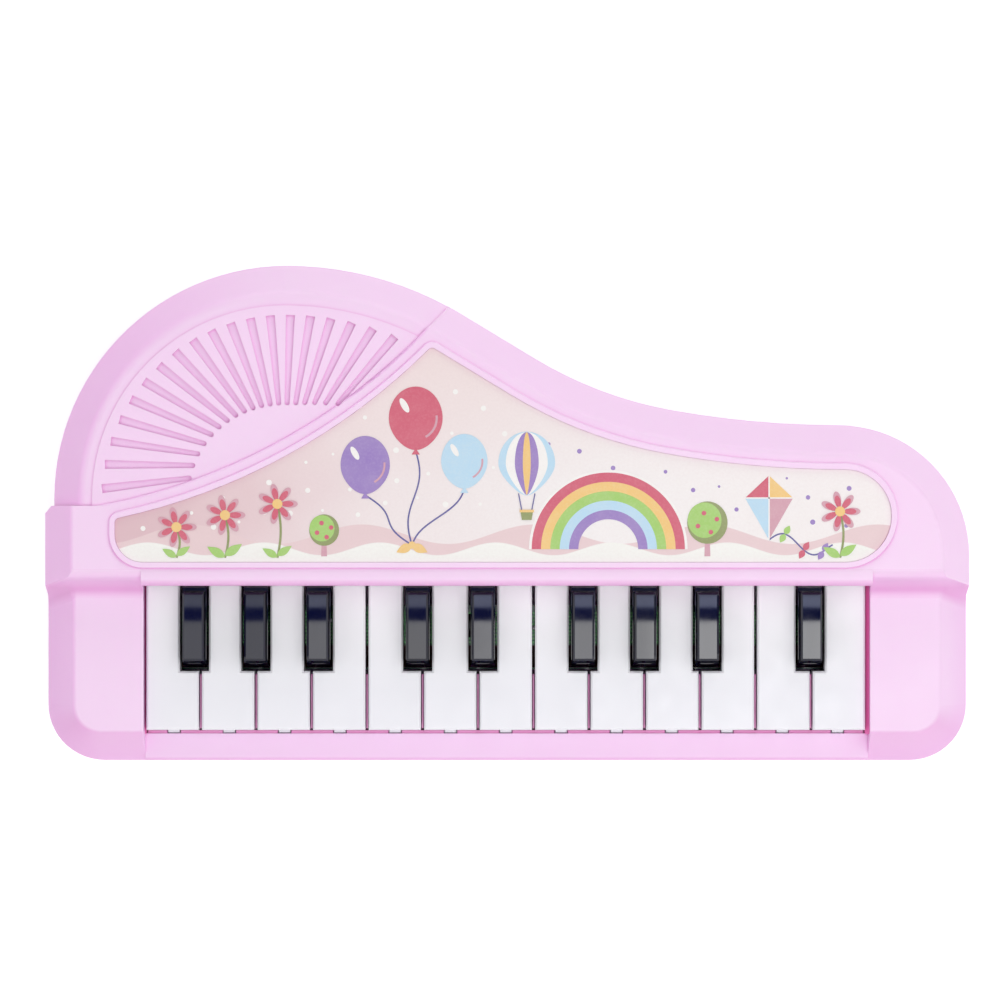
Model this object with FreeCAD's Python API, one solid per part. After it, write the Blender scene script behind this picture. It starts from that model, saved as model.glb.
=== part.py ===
import FreeCAD, Part
import math
import os

Vector = FreeCAD.Vector

# Keyboard and cheeks, which set the width of the case
key_pitch = 15.0
white_key_count = 13
keyboard_left_gap = 0.2
keyboard_right_gap = 0.7
left_cheek = 26.9
right_cheek = 27.2

# Depths from the front edge to the back of the dome
rail_depth = 7.65
key_front_gap = 1.2
key_visible_length = 39.15
deck_front_lean = 2.6
dome_setback = 20.8
dome_left_radius = 63.2

# Rest of the case outline seen from above
side_notch = 2.3
notch_from_dome = 4.3
dome_right_radius = 91.7
tail_angle = 31.2
tail_length = 22.9
waist_radius = 108.0
waist_end_angle = 10.3
shoulder_radius = 258.0
rear_corner_radius = 35.4
front_corner_radius = 15.5
hidden_corner_radius = 40.0

# Heights, each from the one below it
foot_height = 1.5
base_height = 10.5
key_rise = 12.0
rail_drop = 5.0
cheek_rise = 2.5
sharp_rise = 5.5
deck_rise = 8.5
dome_drop = 1.6

# Walls and moulding details
wall = 2.0
floor_thickness = 2.0
flank_run = 8.2
flank_drop = 10.0
wall_draft = 0.35
top_edge_radius = 1.6
dome_edge_radius = 3.0
deck_front_radius = 2.5
bottom_draft = 1.0
bottom_edge_radius = 2.0
lap_height = 1.2
lap_thickness = 0.9
lap_clearance = 0.1
running_clearance = 0.3
hinge_clearance = 0.05
seat_clearance = 0.1

# Step between dome and deck, and the plate that carries the grooves
step_centre_from_dome_x = -79.9
step_centre_from_dome_y = 158.7
step_radius = 163.3
step_end_angle = -38.0
step_edge_radius = 0.8
plate_margin = 11.5
plate_rise = 0.5

# Fan of blind grooves
groove_count = 19
groove_first_angle = -6.9
groove_pitch_angle = 7.62
groove_margin = 14.1
groove_length = 24.2
groove_outer_width = 2.4
groove_inner_width = 1.35
groove_depth = 1.2
fan_centre_from_dome_x = -0.1
fan_centre_from_dome_y = 8.5

# Label pocket and the raised frame round it
label_inset = 12.3
label_arc_offset = 4.4
label_front_margin = 3.65
label_left_margin = 20.0
label_right_margin = 22.2
label_corner_radius = 7.5
label_thickness = 0.5
label_pocket_depth = 0.4
label_clearance = 0.05
frame_width = 1.7
frame_rise = 0.8
frame_edge = 0.35
label_sharp_corner_radius = 1.4

# Keys and their hinges
deck_lip_gap = 1.4
cove_radius = 5.0
hinge_setback = 10.3
hinge_drop = 4.0
hinge_bead_radius = 1.5
hinge_neck = 1.8
key_rear_gap = 3.8
key_wall = 1.2
key_top_thickness = 1.6
key_skirt_depth = 8.0
key_gap = 0.9
key_edge = 0.5
sharp_slot_width = 7.9
sharp_slot_length = 23.3
sharp_after = (1, 2, 3, 5, 6, 8, 9, 10, 12)
trio_left_shift = -1.6
trio_right_shift = 1.9
pair_shift = 1.3
last_shift = -0.3
sharp_top_width = 5.7
sharp_base_width = 6.8
sharp_tail_width = 6.4
sharp_front_gap = 0.9
sharp_front_slope = 2.2
sharp_rear_gap = 1.3
sharp_rear_slope = 0.7
sharp_tail_drop = 1.0
sharp_edge = 0.5
stop_tab_width = 3.1
stop_tab_reach = 2.3
stop_tab_thickness = 1.9
stop_tab_drop = 7.5
plunger_width = 3.6
plunger_depth = 3.0

# Key rail and the ribs that clamp it
key_rail_front = 2.2
key_rail_rear = 5.8
key_rail_below = 3.6
key_rail_above = 3.4
rail_rib_count = 4
rail_rib_margin = 7.0
rail_rib_width = 1.8
rail_clamp_front = 1.0
rail_clamp_depth = 4.0

# Circuit board and contact strip
board_thickness = 1.6
board_height = 8.0
board_depth = 17.5
board_side_gap = 1.3
board_rear_y_from_lip = 5.8
board_screw_from_rear = 3.5
board_screw_count = 3
board_screw_margin = 6.2
board_post_radius = 2.6
board_rib_width = 1.5
board_rib_depth = 3.0
strip_depth = 6.0
strip_thickness = 1.0
strip_side_gap = 0.5
dome_pad_base = 4.6
dome_pad_top = 3.0
dome_pad_height = 2.9
chip_radius = 4.0
chip_top_radius = 2.6
chip_height = 1.4
chip_x = -8.0

# Speaker
speaker_from_dome_x = -2.5
speaker_from_dome_y = 16.9
speaker_radius = 20.0
speaker_flange = 1.5
speaker_basket_top_radius = 11.5
speaker_basket_height = 9.0
speaker_sheet = 1.0
speaker_cone_radius = 16.5
speaker_cone_throat = 5.0
speaker_cone_depth = 6.0
speaker_magnet_radius = 11.0
speaker_magnet_height = 5.0
speaker_ring_wall = 1.6
speaker_ring_height = 1.5
sound_slot_count = 5
sound_slot_width = 2.0
sound_slot_spacing = 5.0
sound_field_radius = 14.0

# Battery box, cells, contacts and door
cell_radius = 7.2
cell_length = 49.5
cell_tip_radius = 2.7
cell_tip_length = 1.0
cell_gap = 0.6
cell_side_gap = 0.6
cell_count = 2
battery_centre_x = -2.0
battery_from_rail = 17.2
battery_box_wall = 1.5
battery_end_room = 1.7
battery_contact_sheet = 0.4
battery_contact_height = 9.0
battery_leaf_bulge = 1.0
door_gap = 0.35
door_thickness = 2.0
door_pin_radius = 1.0
door_pin_length = 6.0
door_pin_offset = 9.0
door_pin_setback = 1.4
door_pin_block = 4.2
door_rib_height = 1.2
door_rib_width = 1.4
door_rib_spacing = 24.8
door_rib_length = 7.2
door_grip_count = 3
door_grip_length = 9.0
door_grip_width = 1.4
door_grip_pitch = 2.8
door_grip_depth = 0.7

# Slide switch
switch_from_right = 63.0
switch_from_rail = 9.2
switch_length = 13.0
switch_width = 6.5
switch_body_height = 5.5
switch_travel = 4.0
switch_nub_length = 3.0
switch_nub_width = 2.6
switch_shoe_length = 4.4
switch_shoe_width = 4.0
switch_shoe_height = 2.2
switch_nub_proud = 0.8

# Screws, towers and feet
screw_shank_radius = 1.25
screw_head_radius = 2.6
screw_head_height = 1.7
screw_clear_radius = 1.6
case_screw_length = 14.0
tower_radius = 4.3
tower_bore_radius = 3.0
tower_bore_depth = 4.0
boss_radius = 3.4
screw_side_margin = 13.0
screw_front_margin = 17.3
screw_deck_setback = 8.5
screw_dome_margin = 13.3
foot_radius = 5.0
foot_front_margin = 9.3
foot_side_margin = 30.0
foot_rear_setback = 26.7
foot_dome_reach = 44.0
foot_dome_angle = 144.0

# Derived lines
keyboard_width = key_pitch * white_key_count
cheeks_width = left_cheek + keyboard_left_gap + keyboard_right_gap + right_cheek
case_width = keyboard_width + cheeks_width
half_width = case_width / 2
opening_left = -half_width + left_cheek
opening_right = half_width - right_cheek
keyboard_left = opening_left + keyboard_left_gap
keys_depth = rail_depth + key_front_gap + key_visible_length + deck_front_lean
case_depth = keys_depth + dome_setback + dome_left_radius
front_y = -case_depth / 2
back_y = case_depth / 2
rail_rear_y = front_y + rail_depth
key_front_y = rail_rear_y + key_front_gap
lip_y = key_front_y + key_visible_length
deck_front_y = lip_y + deck_front_lean
hinge_y = lip_y + hinge_setback
rail_back_y = hinge_y + key_rail_rear
parting_height = foot_height + base_height
white_key_height = parting_height + key_rise
rail_height = white_key_height - rail_drop
cheek_height = white_key_height + cheek_rise
black_key_height = white_key_height + sharp_rise
deck_height = cheek_height + deck_rise
dome_height = deck_height - dome_drop
hinge_z = white_key_height - hinge_drop
lip_z = white_key_height + deck_lip_gap
floor_z = foot_height + floor_thickness
sharp_slot_front_y = lip_y - sharp_slot_length
skirt_z = white_key_height - key_skirt_depth
stop_tab_z = white_key_height - stop_tab_drop
trio_shifts = (trio_left_shift, 0.0, trio_right_shift)
sharp_shift = trio_shifts + (-pair_shift, pair_shift) + trio_shifts + (last_shift,)
board_top_z = board_height + board_thickness
board_rear_y = lip_y - board_rear_y_from_lip
board_front_y = board_rear_y - board_depth
strip_front_y = board_front_y + strip_side_gap
pad_y = strip_front_y + strip_depth / 2
pad_top_z = board_top_z + strip_thickness + dome_pad_height
plunger_z = pad_top_z + running_clearance
far = case_width

dome_left_x = -half_width + side_notch
dome_centre_x = dome_left_x + dome_left_radius
dome_left_centre = Vector(dome_centre_x, back_y - dome_left_radius, 0)
dome_right_centre = Vector(dome_centre_x, back_y - dome_right_radius, 0)
side_notch_y = dome_left_centre.y - notch_from_dome
tail_turn = math.radians(tail_angle)
tail_out = Vector(math.sin(tail_turn), math.cos(tail_turn), 0)
tail_along = Vector(math.cos(tail_turn), -math.sin(tail_turn), 0)
tail_start = dome_right_centre + tail_out * dome_right_radius
tail_end = tail_start + tail_along * tail_length
waist_centre = tail_end + tail_out * waist_radius
waist_turn = math.radians(waist_end_angle)
waist_out = Vector(math.sin(waist_turn), math.cos(waist_turn), 0)
shoulder_centre = waist_centre + waist_out * (shoulder_radius - waist_radius)
rear_corner_x = half_width - rear_corner_radius
shoulder_to_corner = shoulder_radius + rear_corner_radius
rear_corner_fall = math.sqrt(shoulder_to_corner ** 2 - (shoulder_centre.x - rear_corner_x) ** 2)
rear_corner = Vector(rear_corner_x, shoulder_centre.y - rear_corner_fall, 0)
shoulder_end_turn = math.atan2(shoulder_centre.y - rear_corner.y, shoulder_centre.x - rear_corner.x)
step_centre = dome_left_centre + Vector(step_centre_from_dome_x, step_centre_from_dome_y, 0)
fan_centre = dome_left_centre + Vector(fan_centre_from_dome_x, fan_centre_from_dome_y, 0)
speaker_x = dome_centre_x + speaker_from_dome_x
speaker_y = dome_left_centre.y + speaker_from_dome_y
battery_centre_y = rail_back_y + battery_from_rail
switch_x = half_width - switch_from_right
switch_y = rail_back_y + switch_from_rail
screw_x = half_width - screw_side_margin
screw_front_y = front_y + screw_front_margin
screw_rear_y = deck_front_y + screw_deck_setback
case_screw_places = (
    (-screw_x, screw_front_y),
    (screw_x, screw_front_y),
    (-screw_x, screw_rear_y),
    (screw_x, screw_rear_y),
    (dome_centre_x, back_y - screw_dome_margin),
)
foot_x = half_width - foot_side_margin
foot_dome_turn = math.radians(foot_dome_angle)
foot_places = (
    (-foot_x, front_y + foot_front_margin),
    (foot_x, front_y + foot_front_margin),
    (foot_x, deck_front_y + foot_rear_setback),
    (dome_centre_x + foot_dome_reach * math.cos(foot_dome_turn),
     dome_left_centre.y + foot_dome_reach * math.sin(foot_dome_turn)),
)


# Small builders
def box(x0, x1, y0, y1, z0, z1):
    return Part.makeBox(x1 - x0, y1 - y0, z1 - z0, Vector(x0, y0, z0))


def post(x, y, radius, z0, z1):
    return Part.makeCylinder(radius, z1 - z0, Vector(x, y, z0))


def cone(x, y, low_radius, high_radius, z0, z1):
    return Part.makeCone(low_radius, high_radius, z1 - z0, Vector(x, y, z0))


def line(start, end):
    return Part.makeLine(start, end)


def arc(centre, radius, start, end, z):
    """Arc edge about a vertical axis, between two angles in degrees."""
    places = []
    for angle in (start, (start + end) / 2, end):
        turn = math.radians(angle)
        places.append(Vector(centre.x + radius * math.cos(turn), centre.y + radius * math.sin(turn), z))
    return Part.Arc(*places).toShape()


def at_height(place, z):
    return Vector(place.x, place.y, z)


def prism(wire, height):
    return Part.Face(wire).extrude(Vector(0, 0, height))


def rectangle(x, y, width, depth, z):
    """Corners of a level rectangle about a centre, counted against the clock."""
    return [
        Vector(x - width / 2, y - depth / 2, z),
        Vector(x + width / 2, y - depth / 2, z),
        Vector(x + width / 2, y + depth / 2, z),
        Vector(x - width / 2, y + depth / 2, z),
    ]


def frustum(low, high):
    """Block between two level rectangles, with flat sides."""
    rings = [low[::-1], high]
    for place in range(len(low)):
        rings.append([low[place - 1], low[place], high[place], high[place - 1]])
    faces = [Part.Face(Part.makePolygon(ring + ring[:1])) for ring in rings]
    return Part.makeSolid(Part.makeShell(faces))


def joined(solids):
    whole = solids[0].fuse(solids[1:])
    return whole.removeSplitter()


def sharp_uprights(block):
    """Upright edges of a prism where its outline has a corner."""
    found = []
    for edge in block.Edges:
        if edge.BoundBox.ZLength < 1e-3:
            continue
        point = edge.Vertexes[0].Point
        normals = []
        for face in block.ancestorsOfType(edge, Part.Face):
            u, v = face.Surface.parameter(point)
            normals.append(face.normalAt(u, v))
        if normals[0].getAngle(normals[1]) > math.radians(10):
            found.append(edge)
    return found


def edges_at_height(shape, z):
    level = []
    for edge in shape.Edges:
        bounds = edge.BoundBox
        if abs(bounds.ZMin - z) < 1e-4 and abs(bounds.ZMax - z) < 1e-4:
            level.append(edge)
    return level


def save(name, shape):
    shape.exportStep("parts/" + name + ".step")


# Case outlines at a given inset and height
def tail_and_front(inset, z):
    """Edges from the top of the dome, round the right side and the front, to the left side."""
    shoulder_end = 180 + math.degrees(shoulder_end_turn)
    right_x = half_width - inset
    front_right = Vector(half_width - front_corner_radius, front_y + front_corner_radius, 0)
    front_left = Vector(-half_width + front_corner_radius, front_y + front_corner_radius, 0)
    corner = front_corner_radius - inset
    tail_shift = tail_out * -inset
    return [
        arc(dome_right_centre, dome_right_radius - inset, 90, 90 - tail_angle, z),
        line(at_height(tail_start + tail_shift, z), at_height(tail_end + tail_shift, z)),
        arc(waist_centre, waist_radius + inset, 270 - tail_angle, 270 - waist_end_angle, z),
        arc(shoulder_centre, shoulder_radius + inset, 270 - waist_end_angle, shoulder_end, z),
        arc(rear_corner, rear_corner_radius - inset, shoulder_end - 180, 0, z),
        line(Vector(right_x, rear_corner.y, z), Vector(right_x, front_right.y, z)),
        arc(front_right, corner, 0, -90, z),
        line(Vector(front_right.x, front_y + inset, z), Vector(front_left.x, front_y + inset, z)),
        arc(front_left, corner, 270, 180, z),
    ]


def case_outline(inset, z):
    """The whole case, with the small step on the left where the dome begins."""
    left_x = -half_width + inset
    notch_low = Vector(left_x, side_notch_y - inset * math.tan(math.pi / 8), z)
    notch_high = notch_low + Vector(side_notch, side_notch, 0)
    edges = tail_and_front(inset, z)
    edges.append(line(Vector(left_x, front_y + front_corner_radius, z), notch_low))
    edges.append(line(notch_low, notch_high))
    edges.append(line(notch_high, Vector(notch_high.x, dome_left_centre.y, z)))
    edges.append(arc(dome_left_centre, dome_left_radius - inset, 180, 90, z))
    return Part.Wire(edges)


def deck_outline(inset, z):
    """The deck and cheeks, squared off behind the dome where the step cuts it away."""
    left_x = -half_width + inset
    hidden = Vector(-half_width + hidden_corner_radius, back_y - hidden_corner_radius, 0)
    edges = tail_and_front(inset, z)
    edges.append(line(Vector(left_x, front_y + front_corner_radius, z), Vector(left_x, hidden.y, z)))
    edges.append(arc(hidden, hidden_corner_radius - inset, 180, 90, z))
    edges.append(line(Vector(hidden.x, back_y - inset, z), Vector(dome_centre_x, back_y - inset, z)))
    return Part.Wire(edges)


def dome_outline(inset, z):
    """The dome, closed off by straight edges inside the deck."""
    left_x = dome_left_x + inset
    base_y = side_notch_y - flank_run
    tail_point = at_height(tail_end + tail_out * -inset, z)
    edges = tail_and_front(inset, z)[:2]
    edges.append(line(tail_point, Vector(tail_point.x, base_y, z)))
    edges.append(line(Vector(tail_point.x, base_y, z), Vector(left_x, base_y, z)))
    edges.append(line(Vector(left_x, base_y, z), Vector(left_x, dome_left_centre.y, z)))
    edges.append(arc(dome_left_centre, dome_left_radius - inset, 180, 90, z))
    return Part.Wire(edges)


def sloped_block(outline, inset, base_z, top_z):
    """A block with a drafted wall below and a sloping flank up to its flat top."""
    sections = [
        outline(inset, base_z),
        outline(inset + wall_draft, top_z - flank_drop),
        outline(inset + flank_run, top_z),
    ]
    return Part.makeLoft(sections, True, True)


def behind_step(radius):
    """Everything on the dome's side of the step between dome and deck."""
    reach = far / 2
    step_y = side_notch_y + side_notch
    start_turn = math.asin((step_y - step_centre.y) / radius)
    start_x = step_centre.x + radius * math.cos(start_turn)
    sweep = arc(step_centre, radius, math.degrees(start_turn), step_end_angle, 0)
    end = sweep.lastVertex().Point
    corner = Vector(dome_left_x, step_y, 0)
    outside = corner - Vector(reach, reach, 0)
    edges = [
        line(outside, corner),
        line(corner, Vector(start_x, step_y, 0)),
        sweep,
        line(end, Vector(end.x, back_y + reach, 0)),
        line(Vector(end.x, back_y + reach, 0), Vector(outside.x, back_y + reach, 0)),
        line(Vector(outside.x, back_y + reach, 0), outside),
    ]
    return prism(Part.Wire(edges), far)


def behind_deck_front(shift, radius):
    """Everything behind the leaning front wall of the deck, with its upper edge rounded."""
    lean = deck_front_lean / (deck_height - lip_z)
    corner = Vector(-far, deck_front_y + shift, deck_height)
    down = Vector(0, -lean, -1)
    back = Vector(0, 1, 0)
    reach = radius / math.tan(down.getAngle(back) / 2)
    on_top = corner + back * reach
    centre = on_top - Vector(0, 0, radius)
    nose = centre + (corner - centre).normalize() * radius
    on_wall = corner + down.normalize() * reach
    foot = Vector(-far, corner.y - lean * deck_height, 0)
    above = Vector(-far, on_top.y, 2 * deck_height)
    edges = [
        line(foot, on_wall),
        Part.Arc(on_wall, nose, on_top).toShape(),
        line(on_top, above),
        line(above, Vector(-far, far, 2 * deck_height)),
        line(Vector(-far, far, 2 * deck_height), Vector(-far, far, 0)),
        line(Vector(-far, far, 0), foot),
    ]
    return Part.Face(Part.Wire(edges)).extrude(Vector(2 * far, 0, 0))


# Top shell
def touching_radius(right, low, radius):
    """Radius of the circle that touches an upright, a level line and a circle about the origin."""
    half_sum = right - low + radius
    return half_sum - math.sqrt(half_sum ** 2 - right ** 2 - low ** 2 + radius ** 2)


def label_outline(offset, z):
    """Outline of the label, grown by an offset."""
    inset = label_inset - offset
    radius = step_radius + label_arc_offset - offset
    left_x = -half_width + label_left_margin - offset
    right_x = half_width - label_right_margin + offset
    low_y = deck_front_y + label_front_margin - offset
    corner = label_corner_radius + offset
    tail_shift = tail_out * -inset
    from_centre = tail_start + tail_shift - step_centre
    along = from_centre.dot(tail_along)
    apex_slide = math.sqrt(along ** 2 - from_centre.dot(from_centre) + radius ** 2) - along
    apex = tail_start + tail_shift + tail_along * apex_slide
    apex_turn = math.degrees(math.atan2(apex.y - step_centre.y, apex.x - step_centre.x))
    left_turn = -math.degrees(math.acos((left_x - step_centre.x) / radius))
    left_y = step_centre.y + radius * math.sin(math.radians(left_turn))
    shoulder = shoulder_radius + inset
    end_radius = touching_radius(right_x - shoulder_centre.x, low_y - shoulder_centre.y, shoulder)
    end_centre = Vector(right_x - end_radius, low_y + end_radius, 0)
    to_end = end_centre - shoulder_centre
    end_turn = 360 + math.degrees(math.atan2(to_end.y, to_end.x))
    corner_centre = Vector(left_x + corner, low_y + corner, 0)
    return Part.Wire([
        line(at_height(apex, z), at_height(tail_end + tail_shift, z)),
        arc(waist_centre, waist_radius + inset, 270 - tail_angle, 270 - waist_end_angle, z),
        arc(shoulder_centre, shoulder, 270 - waist_end_angle, end_turn, z),
        arc(end_centre, end_radius, end_turn - 180, -90, z),
        line(Vector(end_centre.x, low_y, z), Vector(corner_centre.x, low_y, z)),
        arc(corner_centre, corner, 270, 180, z),
        line(Vector(left_x, corner_centre.y, z), Vector(left_x, left_y, z)),
        arc(step_centre, radius, left_turn, apex_turn, z),
    ])


def label_block(offset, z, height):
    block = prism(label_outline(offset, z), height)
    return block.makeFillet(label_sharp_corner_radius + offset, sharp_uprights(block))


def groove(index):
    """One tapered groove of the fan, square outside and round inside."""
    turn = math.radians(groove_first_angle + groove_pitch_angle * index)
    out = Vector(-math.cos(turn), math.sin(turn), 0)
    side = Vector(out.y, -out.x, 0)
    centre = dome_left_centre
    radius = dome_left_radius - groove_margin
    if out.x > 0:
        centre = dome_right_centre
        radius = dome_right_radius - groove_margin
    from_centre = fan_centre - centre
    along = from_centre.dot(out)
    reach = math.sqrt(along ** 2 - from_centre.dot(from_centre) + radius ** 2) - along
    base = Vector(0, 0, dome_height + plate_rise - groove_depth)
    outer = fan_centre + out * reach + base
    inner = outer - out * (groove_length - groove_inner_width / 2)
    outer_side = side * (groove_outer_width / 2)
    inner_side = side * (groove_inner_width / 2)
    tip = inner - out * (groove_inner_width / 2)
    edges = [
        line(outer + outer_side, outer - outer_side),
        line(outer - outer_side, inner - inner_side),
        Part.Arc(inner - inner_side, tip, inner + inner_side).toShape(),
        line(inner + inner_side, outer + outer_side),
    ]
    return prism(Part.Wire(edges), groove_depth * 2)


def on_deck_front(point):
    lean = deck_front_lean / (deck_height - lip_z)
    return abs(point.y - deck_front_y + lean * (deck_height - point.z)) < 1e-3


def cove_edges(shape):
    """The inside corner where the deck's front wall stands on the cheeks."""
    found = []
    for edge in shape.Edges:
        points = [vertex.Point for vertex in edge.Vertexes]
        low = all(point.z < cheek_height + 1e-3 and point.z > parting_height + 1e-3 for point in points)
        if low and all(on_deck_front(point) for point in points):
            found.append(edge)
    return found


def top_form(inset, edge_radius):
    """The upper case as a filled form, inset for the hollow inside."""
    base_z = parting_height
    deck = sloped_block(deck_outline, inset, base_z, deck_height - inset)
    cheeks = sloped_block(deck_outline, inset, base_z, cheek_height - inset)
    dome = sloped_block(dome_outline, inset, base_z, dome_height - inset)
    if edge_radius > 0:
        deck = deck.makeFillet(edge_radius, edges_at_height(deck, deck_height - inset))
        cheeks = cheeks.makeFillet(edge_radius, edges_at_height(cheeks, cheek_height - inset))
        outer_dome = edges_at_height(dome, dome_height - inset)
        dome = dome.makeFillet(dome_edge_radius, outer_dome)
    behind = behind_step(step_radius + inset)
    deck = deck.common(behind_deck_front(inset, deck_front_radius)).cut(behind)
    if edge_radius > 0:
        step_edges = []
        for edge in edges_at_height(deck, deck_height):
            middle = edge.valueAt((edge.FirstParameter + edge.LastParameter) / 2)
            if abs(middle.sub(at_height(step_centre, deck_height)).Length - step_radius) < 1e-3:
                step_edges.append(edge)
        deck = deck.makeFillet(step_edge_radius, step_edges)
    front_band = cheeks.common(box(-far, far, -far, hinge_y, 0, far))
    body = deck.fuse([front_band])
    if edge_radius > 0:
        body = body.makeFillet(cove_radius, cove_edges(body))
    return body.fuse([dome])


def front_rail():
    """The low bar in front of the keys, open underneath for the stop tabs."""
    low_z = parting_height
    bar = box(opening_left, opening_right, front_y + wall_draft, rail_rear_y, low_z, rail_height)
    front_edges = []
    for edge in edges_at_height(bar, rail_height):
        if abs(edge.BoundBox.YMax - front_y - wall_draft) < 1e-4:
            front_edges.append(edge)
    bar = bar.makeFillet(wall / 2, front_edges)
    hollow = box(opening_left, opening_right, front_y + wall, rail_rear_y - wall, low_z, rail_height - wall)
    tab_way = box(opening_left, opening_right, rail_rear_y - 2 * wall, far,
                  low_z, stop_tab_z + running_clearance)
    return bar.cut(hollow).cut(tab_way)


def top_shell():
    outer = top_form(0.0, top_edge_radius)
    plate_wire = dome_outline(plate_margin, dome_height - plate_rise)
    plate = prism(plate_wire, 2 * plate_rise)
    outer = outer.fuse([plate])
    inner = top_form(wall, 0.0)
    opening = box(opening_left, opening_right, -far, lip_y, 0, far)
    under_lip = box(opening_left, opening_right, -far, rail_back_y, 0, lip_z)
    left_wall = box(opening_left - wall, opening_left, -far, hinge_y, parting_height, far)
    right_wall = box(opening_right, opening_right + wall, -far, hinge_y, parting_height, far)
    cheek_walls = outer.common(left_wall.fuse(right_wall))
    frame = label_block(frame_width, deck_height - wall / 2, wall / 2 + frame_rise)
    frame = frame.makeChamfer(frame_edge, edges_at_height(frame, deck_height + frame_rise))
    pocket = label_block(0.0, deck_height - label_pocket_depth, far)
    shell = outer.cut(inner).cut(opening).cut(under_lip)
    shell = shell.fuse([cheek_walls, front_rail(), frame])
    bosses = []
    for x, y in case_screw_places:
        bosses.append(post(x, y, boss_radius, parting_height, far))
    for x in rail_rib_places():
        clamp_y = hinge_y + rail_clamp_front
        bosses.append(box(x - rail_rib_width / 2, x + rail_rib_width / 2, clamp_y,
                          clamp_y + rail_clamp_depth, hinge_z + key_rail_above, far))
    shell = shell.fuse([tower.common(outer) for tower in bosses])
    bores = [post(x, y, screw_shank_radius + hinge_clearance, 0, screw_tip_z() + wall)
             for x, y in case_screw_places]
    grooves = [groove(index) for index in range(groove_count)]
    lap = prism(case_outline(wall - lap_thickness - lap_clearance, parting_height),
                lap_height + lap_clearance)
    lap = lap.cut(prism(case_outline(wall + lap_clearance, parting_height), far))
    lap = lap.cut(box(opening_left - wall, opening_right + wall, -far, rail_rear_y, 0, far))
    shell = shell.cut([pocket, lap] + bores + grooves)
    return shell.removeSplitter()


def panel_label():
    floor = deck_height - label_pocket_depth
    return label_block(-label_clearance, floor, label_thickness)


# Keys
def key_left(index):
    return keyboard_left + key_pitch * (index - 1)


def sharp_x(order):
    return key_left(sharp_after[order] + 1) + sharp_shift[order]


def white_key_sides(index):
    """Left and right side of the narrow rear part of a white key."""
    left = key_left(index) + key_gap / 2
    right = key_left(index + 1) - key_gap / 2
    for order in range(len(sharp_after)):
        if sharp_after[order] == index:
            right = sharp_x(order) - sharp_slot_width / 2
        if sharp_after[order] == index - 1:
            left = sharp_x(order) + sharp_slot_width / 2
    return left, right


def hinge_end(left, right):
    """The round bead in the rail's groove and the neck that joins it to the key."""
    bead_start = Vector(left, hinge_y, hinge_z)
    bead = Part.makeCylinder(hinge_bead_radius, right - left, bead_start, Vector(1, 0, 0))
    neck_low = hinge_z - hinge_neck / 2
    neck = box(left, right, hinge_y - key_rear_gap - key_wall, hinge_y, neck_low, neck_low + hinge_neck)
    return [bead, neck]


def plunger(x):
    """The peg under a key that presses its rubber dome."""
    left = x - plunger_width / 2
    top = white_key_height - key_top_thickness / 2
    front = pad_y - plunger_depth / 2
    return box(left, left + plunger_width, front, front + plunger_depth, plunger_z, top)


def white_key(index):
    left = key_left(index) + key_gap / 2
    right = key_left(index + 1) - key_gap / 2
    rear_left, rear_right = white_key_sides(index)
    rear_y = hinge_y - key_rear_gap
    top_z = white_key_height
    head = box(left, right, key_front_y, sharp_slot_front_y, skirt_z, top_z)
    stem = box(rear_left, rear_right, sharp_slot_front_y - key_wall, rear_y, skirt_z, top_z)
    body = joined([head, stem])
    rim = [edge for edge in edges_at_height(body, top_z) if edge.BoundBox.YMin < rear_y - 1e-3]
    body = body.makeChamfer(key_edge, rim)
    under_z = top_z - key_top_thickness
    head_hollow = box(left + key_wall, right - key_wall, key_front_y + key_wall,
                      sharp_slot_front_y - key_wall, 0, under_z)
    stem_hollow = box(rear_left + key_wall, rear_right - key_wall, key_front_y + key_wall,
                      rear_y - key_wall, 0, under_z)
    middle = (left + right) / 2
    tab_low = stop_tab_z - stop_tab_thickness
    tab = box(middle - stop_tab_width / 2, middle + stop_tab_width / 2,
              rail_rear_y - stop_tab_reach, key_front_y + key_wall, tab_low, stop_tab_z)
    web = box(middle - stop_tab_width / 2, middle + stop_tab_width / 2,
              key_front_y, key_front_y + key_wall, tab_low, under_z)
    body = body.cut([head_hollow, stem_hollow])
    pieces = [body, tab, web, plunger((rear_left + rear_right) / 2)]
    return joined(pieces + hinge_end(rear_left, rear_right))


def black_key(order):
    x = sharp_x(order)
    half_tail = sharp_tail_width / 2
    front = sharp_slot_front_y + sharp_front_gap
    rear = lip_y - sharp_rear_gap
    tail_top = white_key_height - sharp_tail_drop
    high_front = front + sharp_front_slope
    high_rear = rear - sharp_rear_slope
    low = rectangle(x, (front + rear) / 2, sharp_base_width, rear - front, skirt_z)
    high = rectangle(x, (high_front + high_rear) / 2, sharp_top_width, high_rear - high_front,
                     black_key_height)
    head = frustum(low, high)
    head = head.makeChamfer(sharp_edge, edges_at_height(head, black_key_height))
    rear_y = hinge_y - key_rear_gap
    tail = box(x - half_tail, x + half_tail, front + sharp_front_slope, rear_y, skirt_z, tail_top)
    hollow_low = box(x - half_tail + key_wall, x + half_tail - key_wall, front + sharp_front_slope,
                     rear_y - key_wall, 0, tail_top - key_top_thickness)
    body = head.fuse([tail]).cut(hollow_low)
    return joined([body, plunger(x)] + hinge_end(x - half_tail, x + half_tail))


# Rail, board and contacts
def spread(count, margin):
    """Places along the keyboard, the first and last a margin in from its ends."""
    step = (keyboard_width - 2 * margin) / (count - 1)
    return [keyboard_left + margin + step * place for place in range(count)]


def rail_rib_places():
    return spread(rail_rib_count, rail_rib_margin)


def board_screw_y():
    return board_rear_y - board_screw_from_rear


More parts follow.
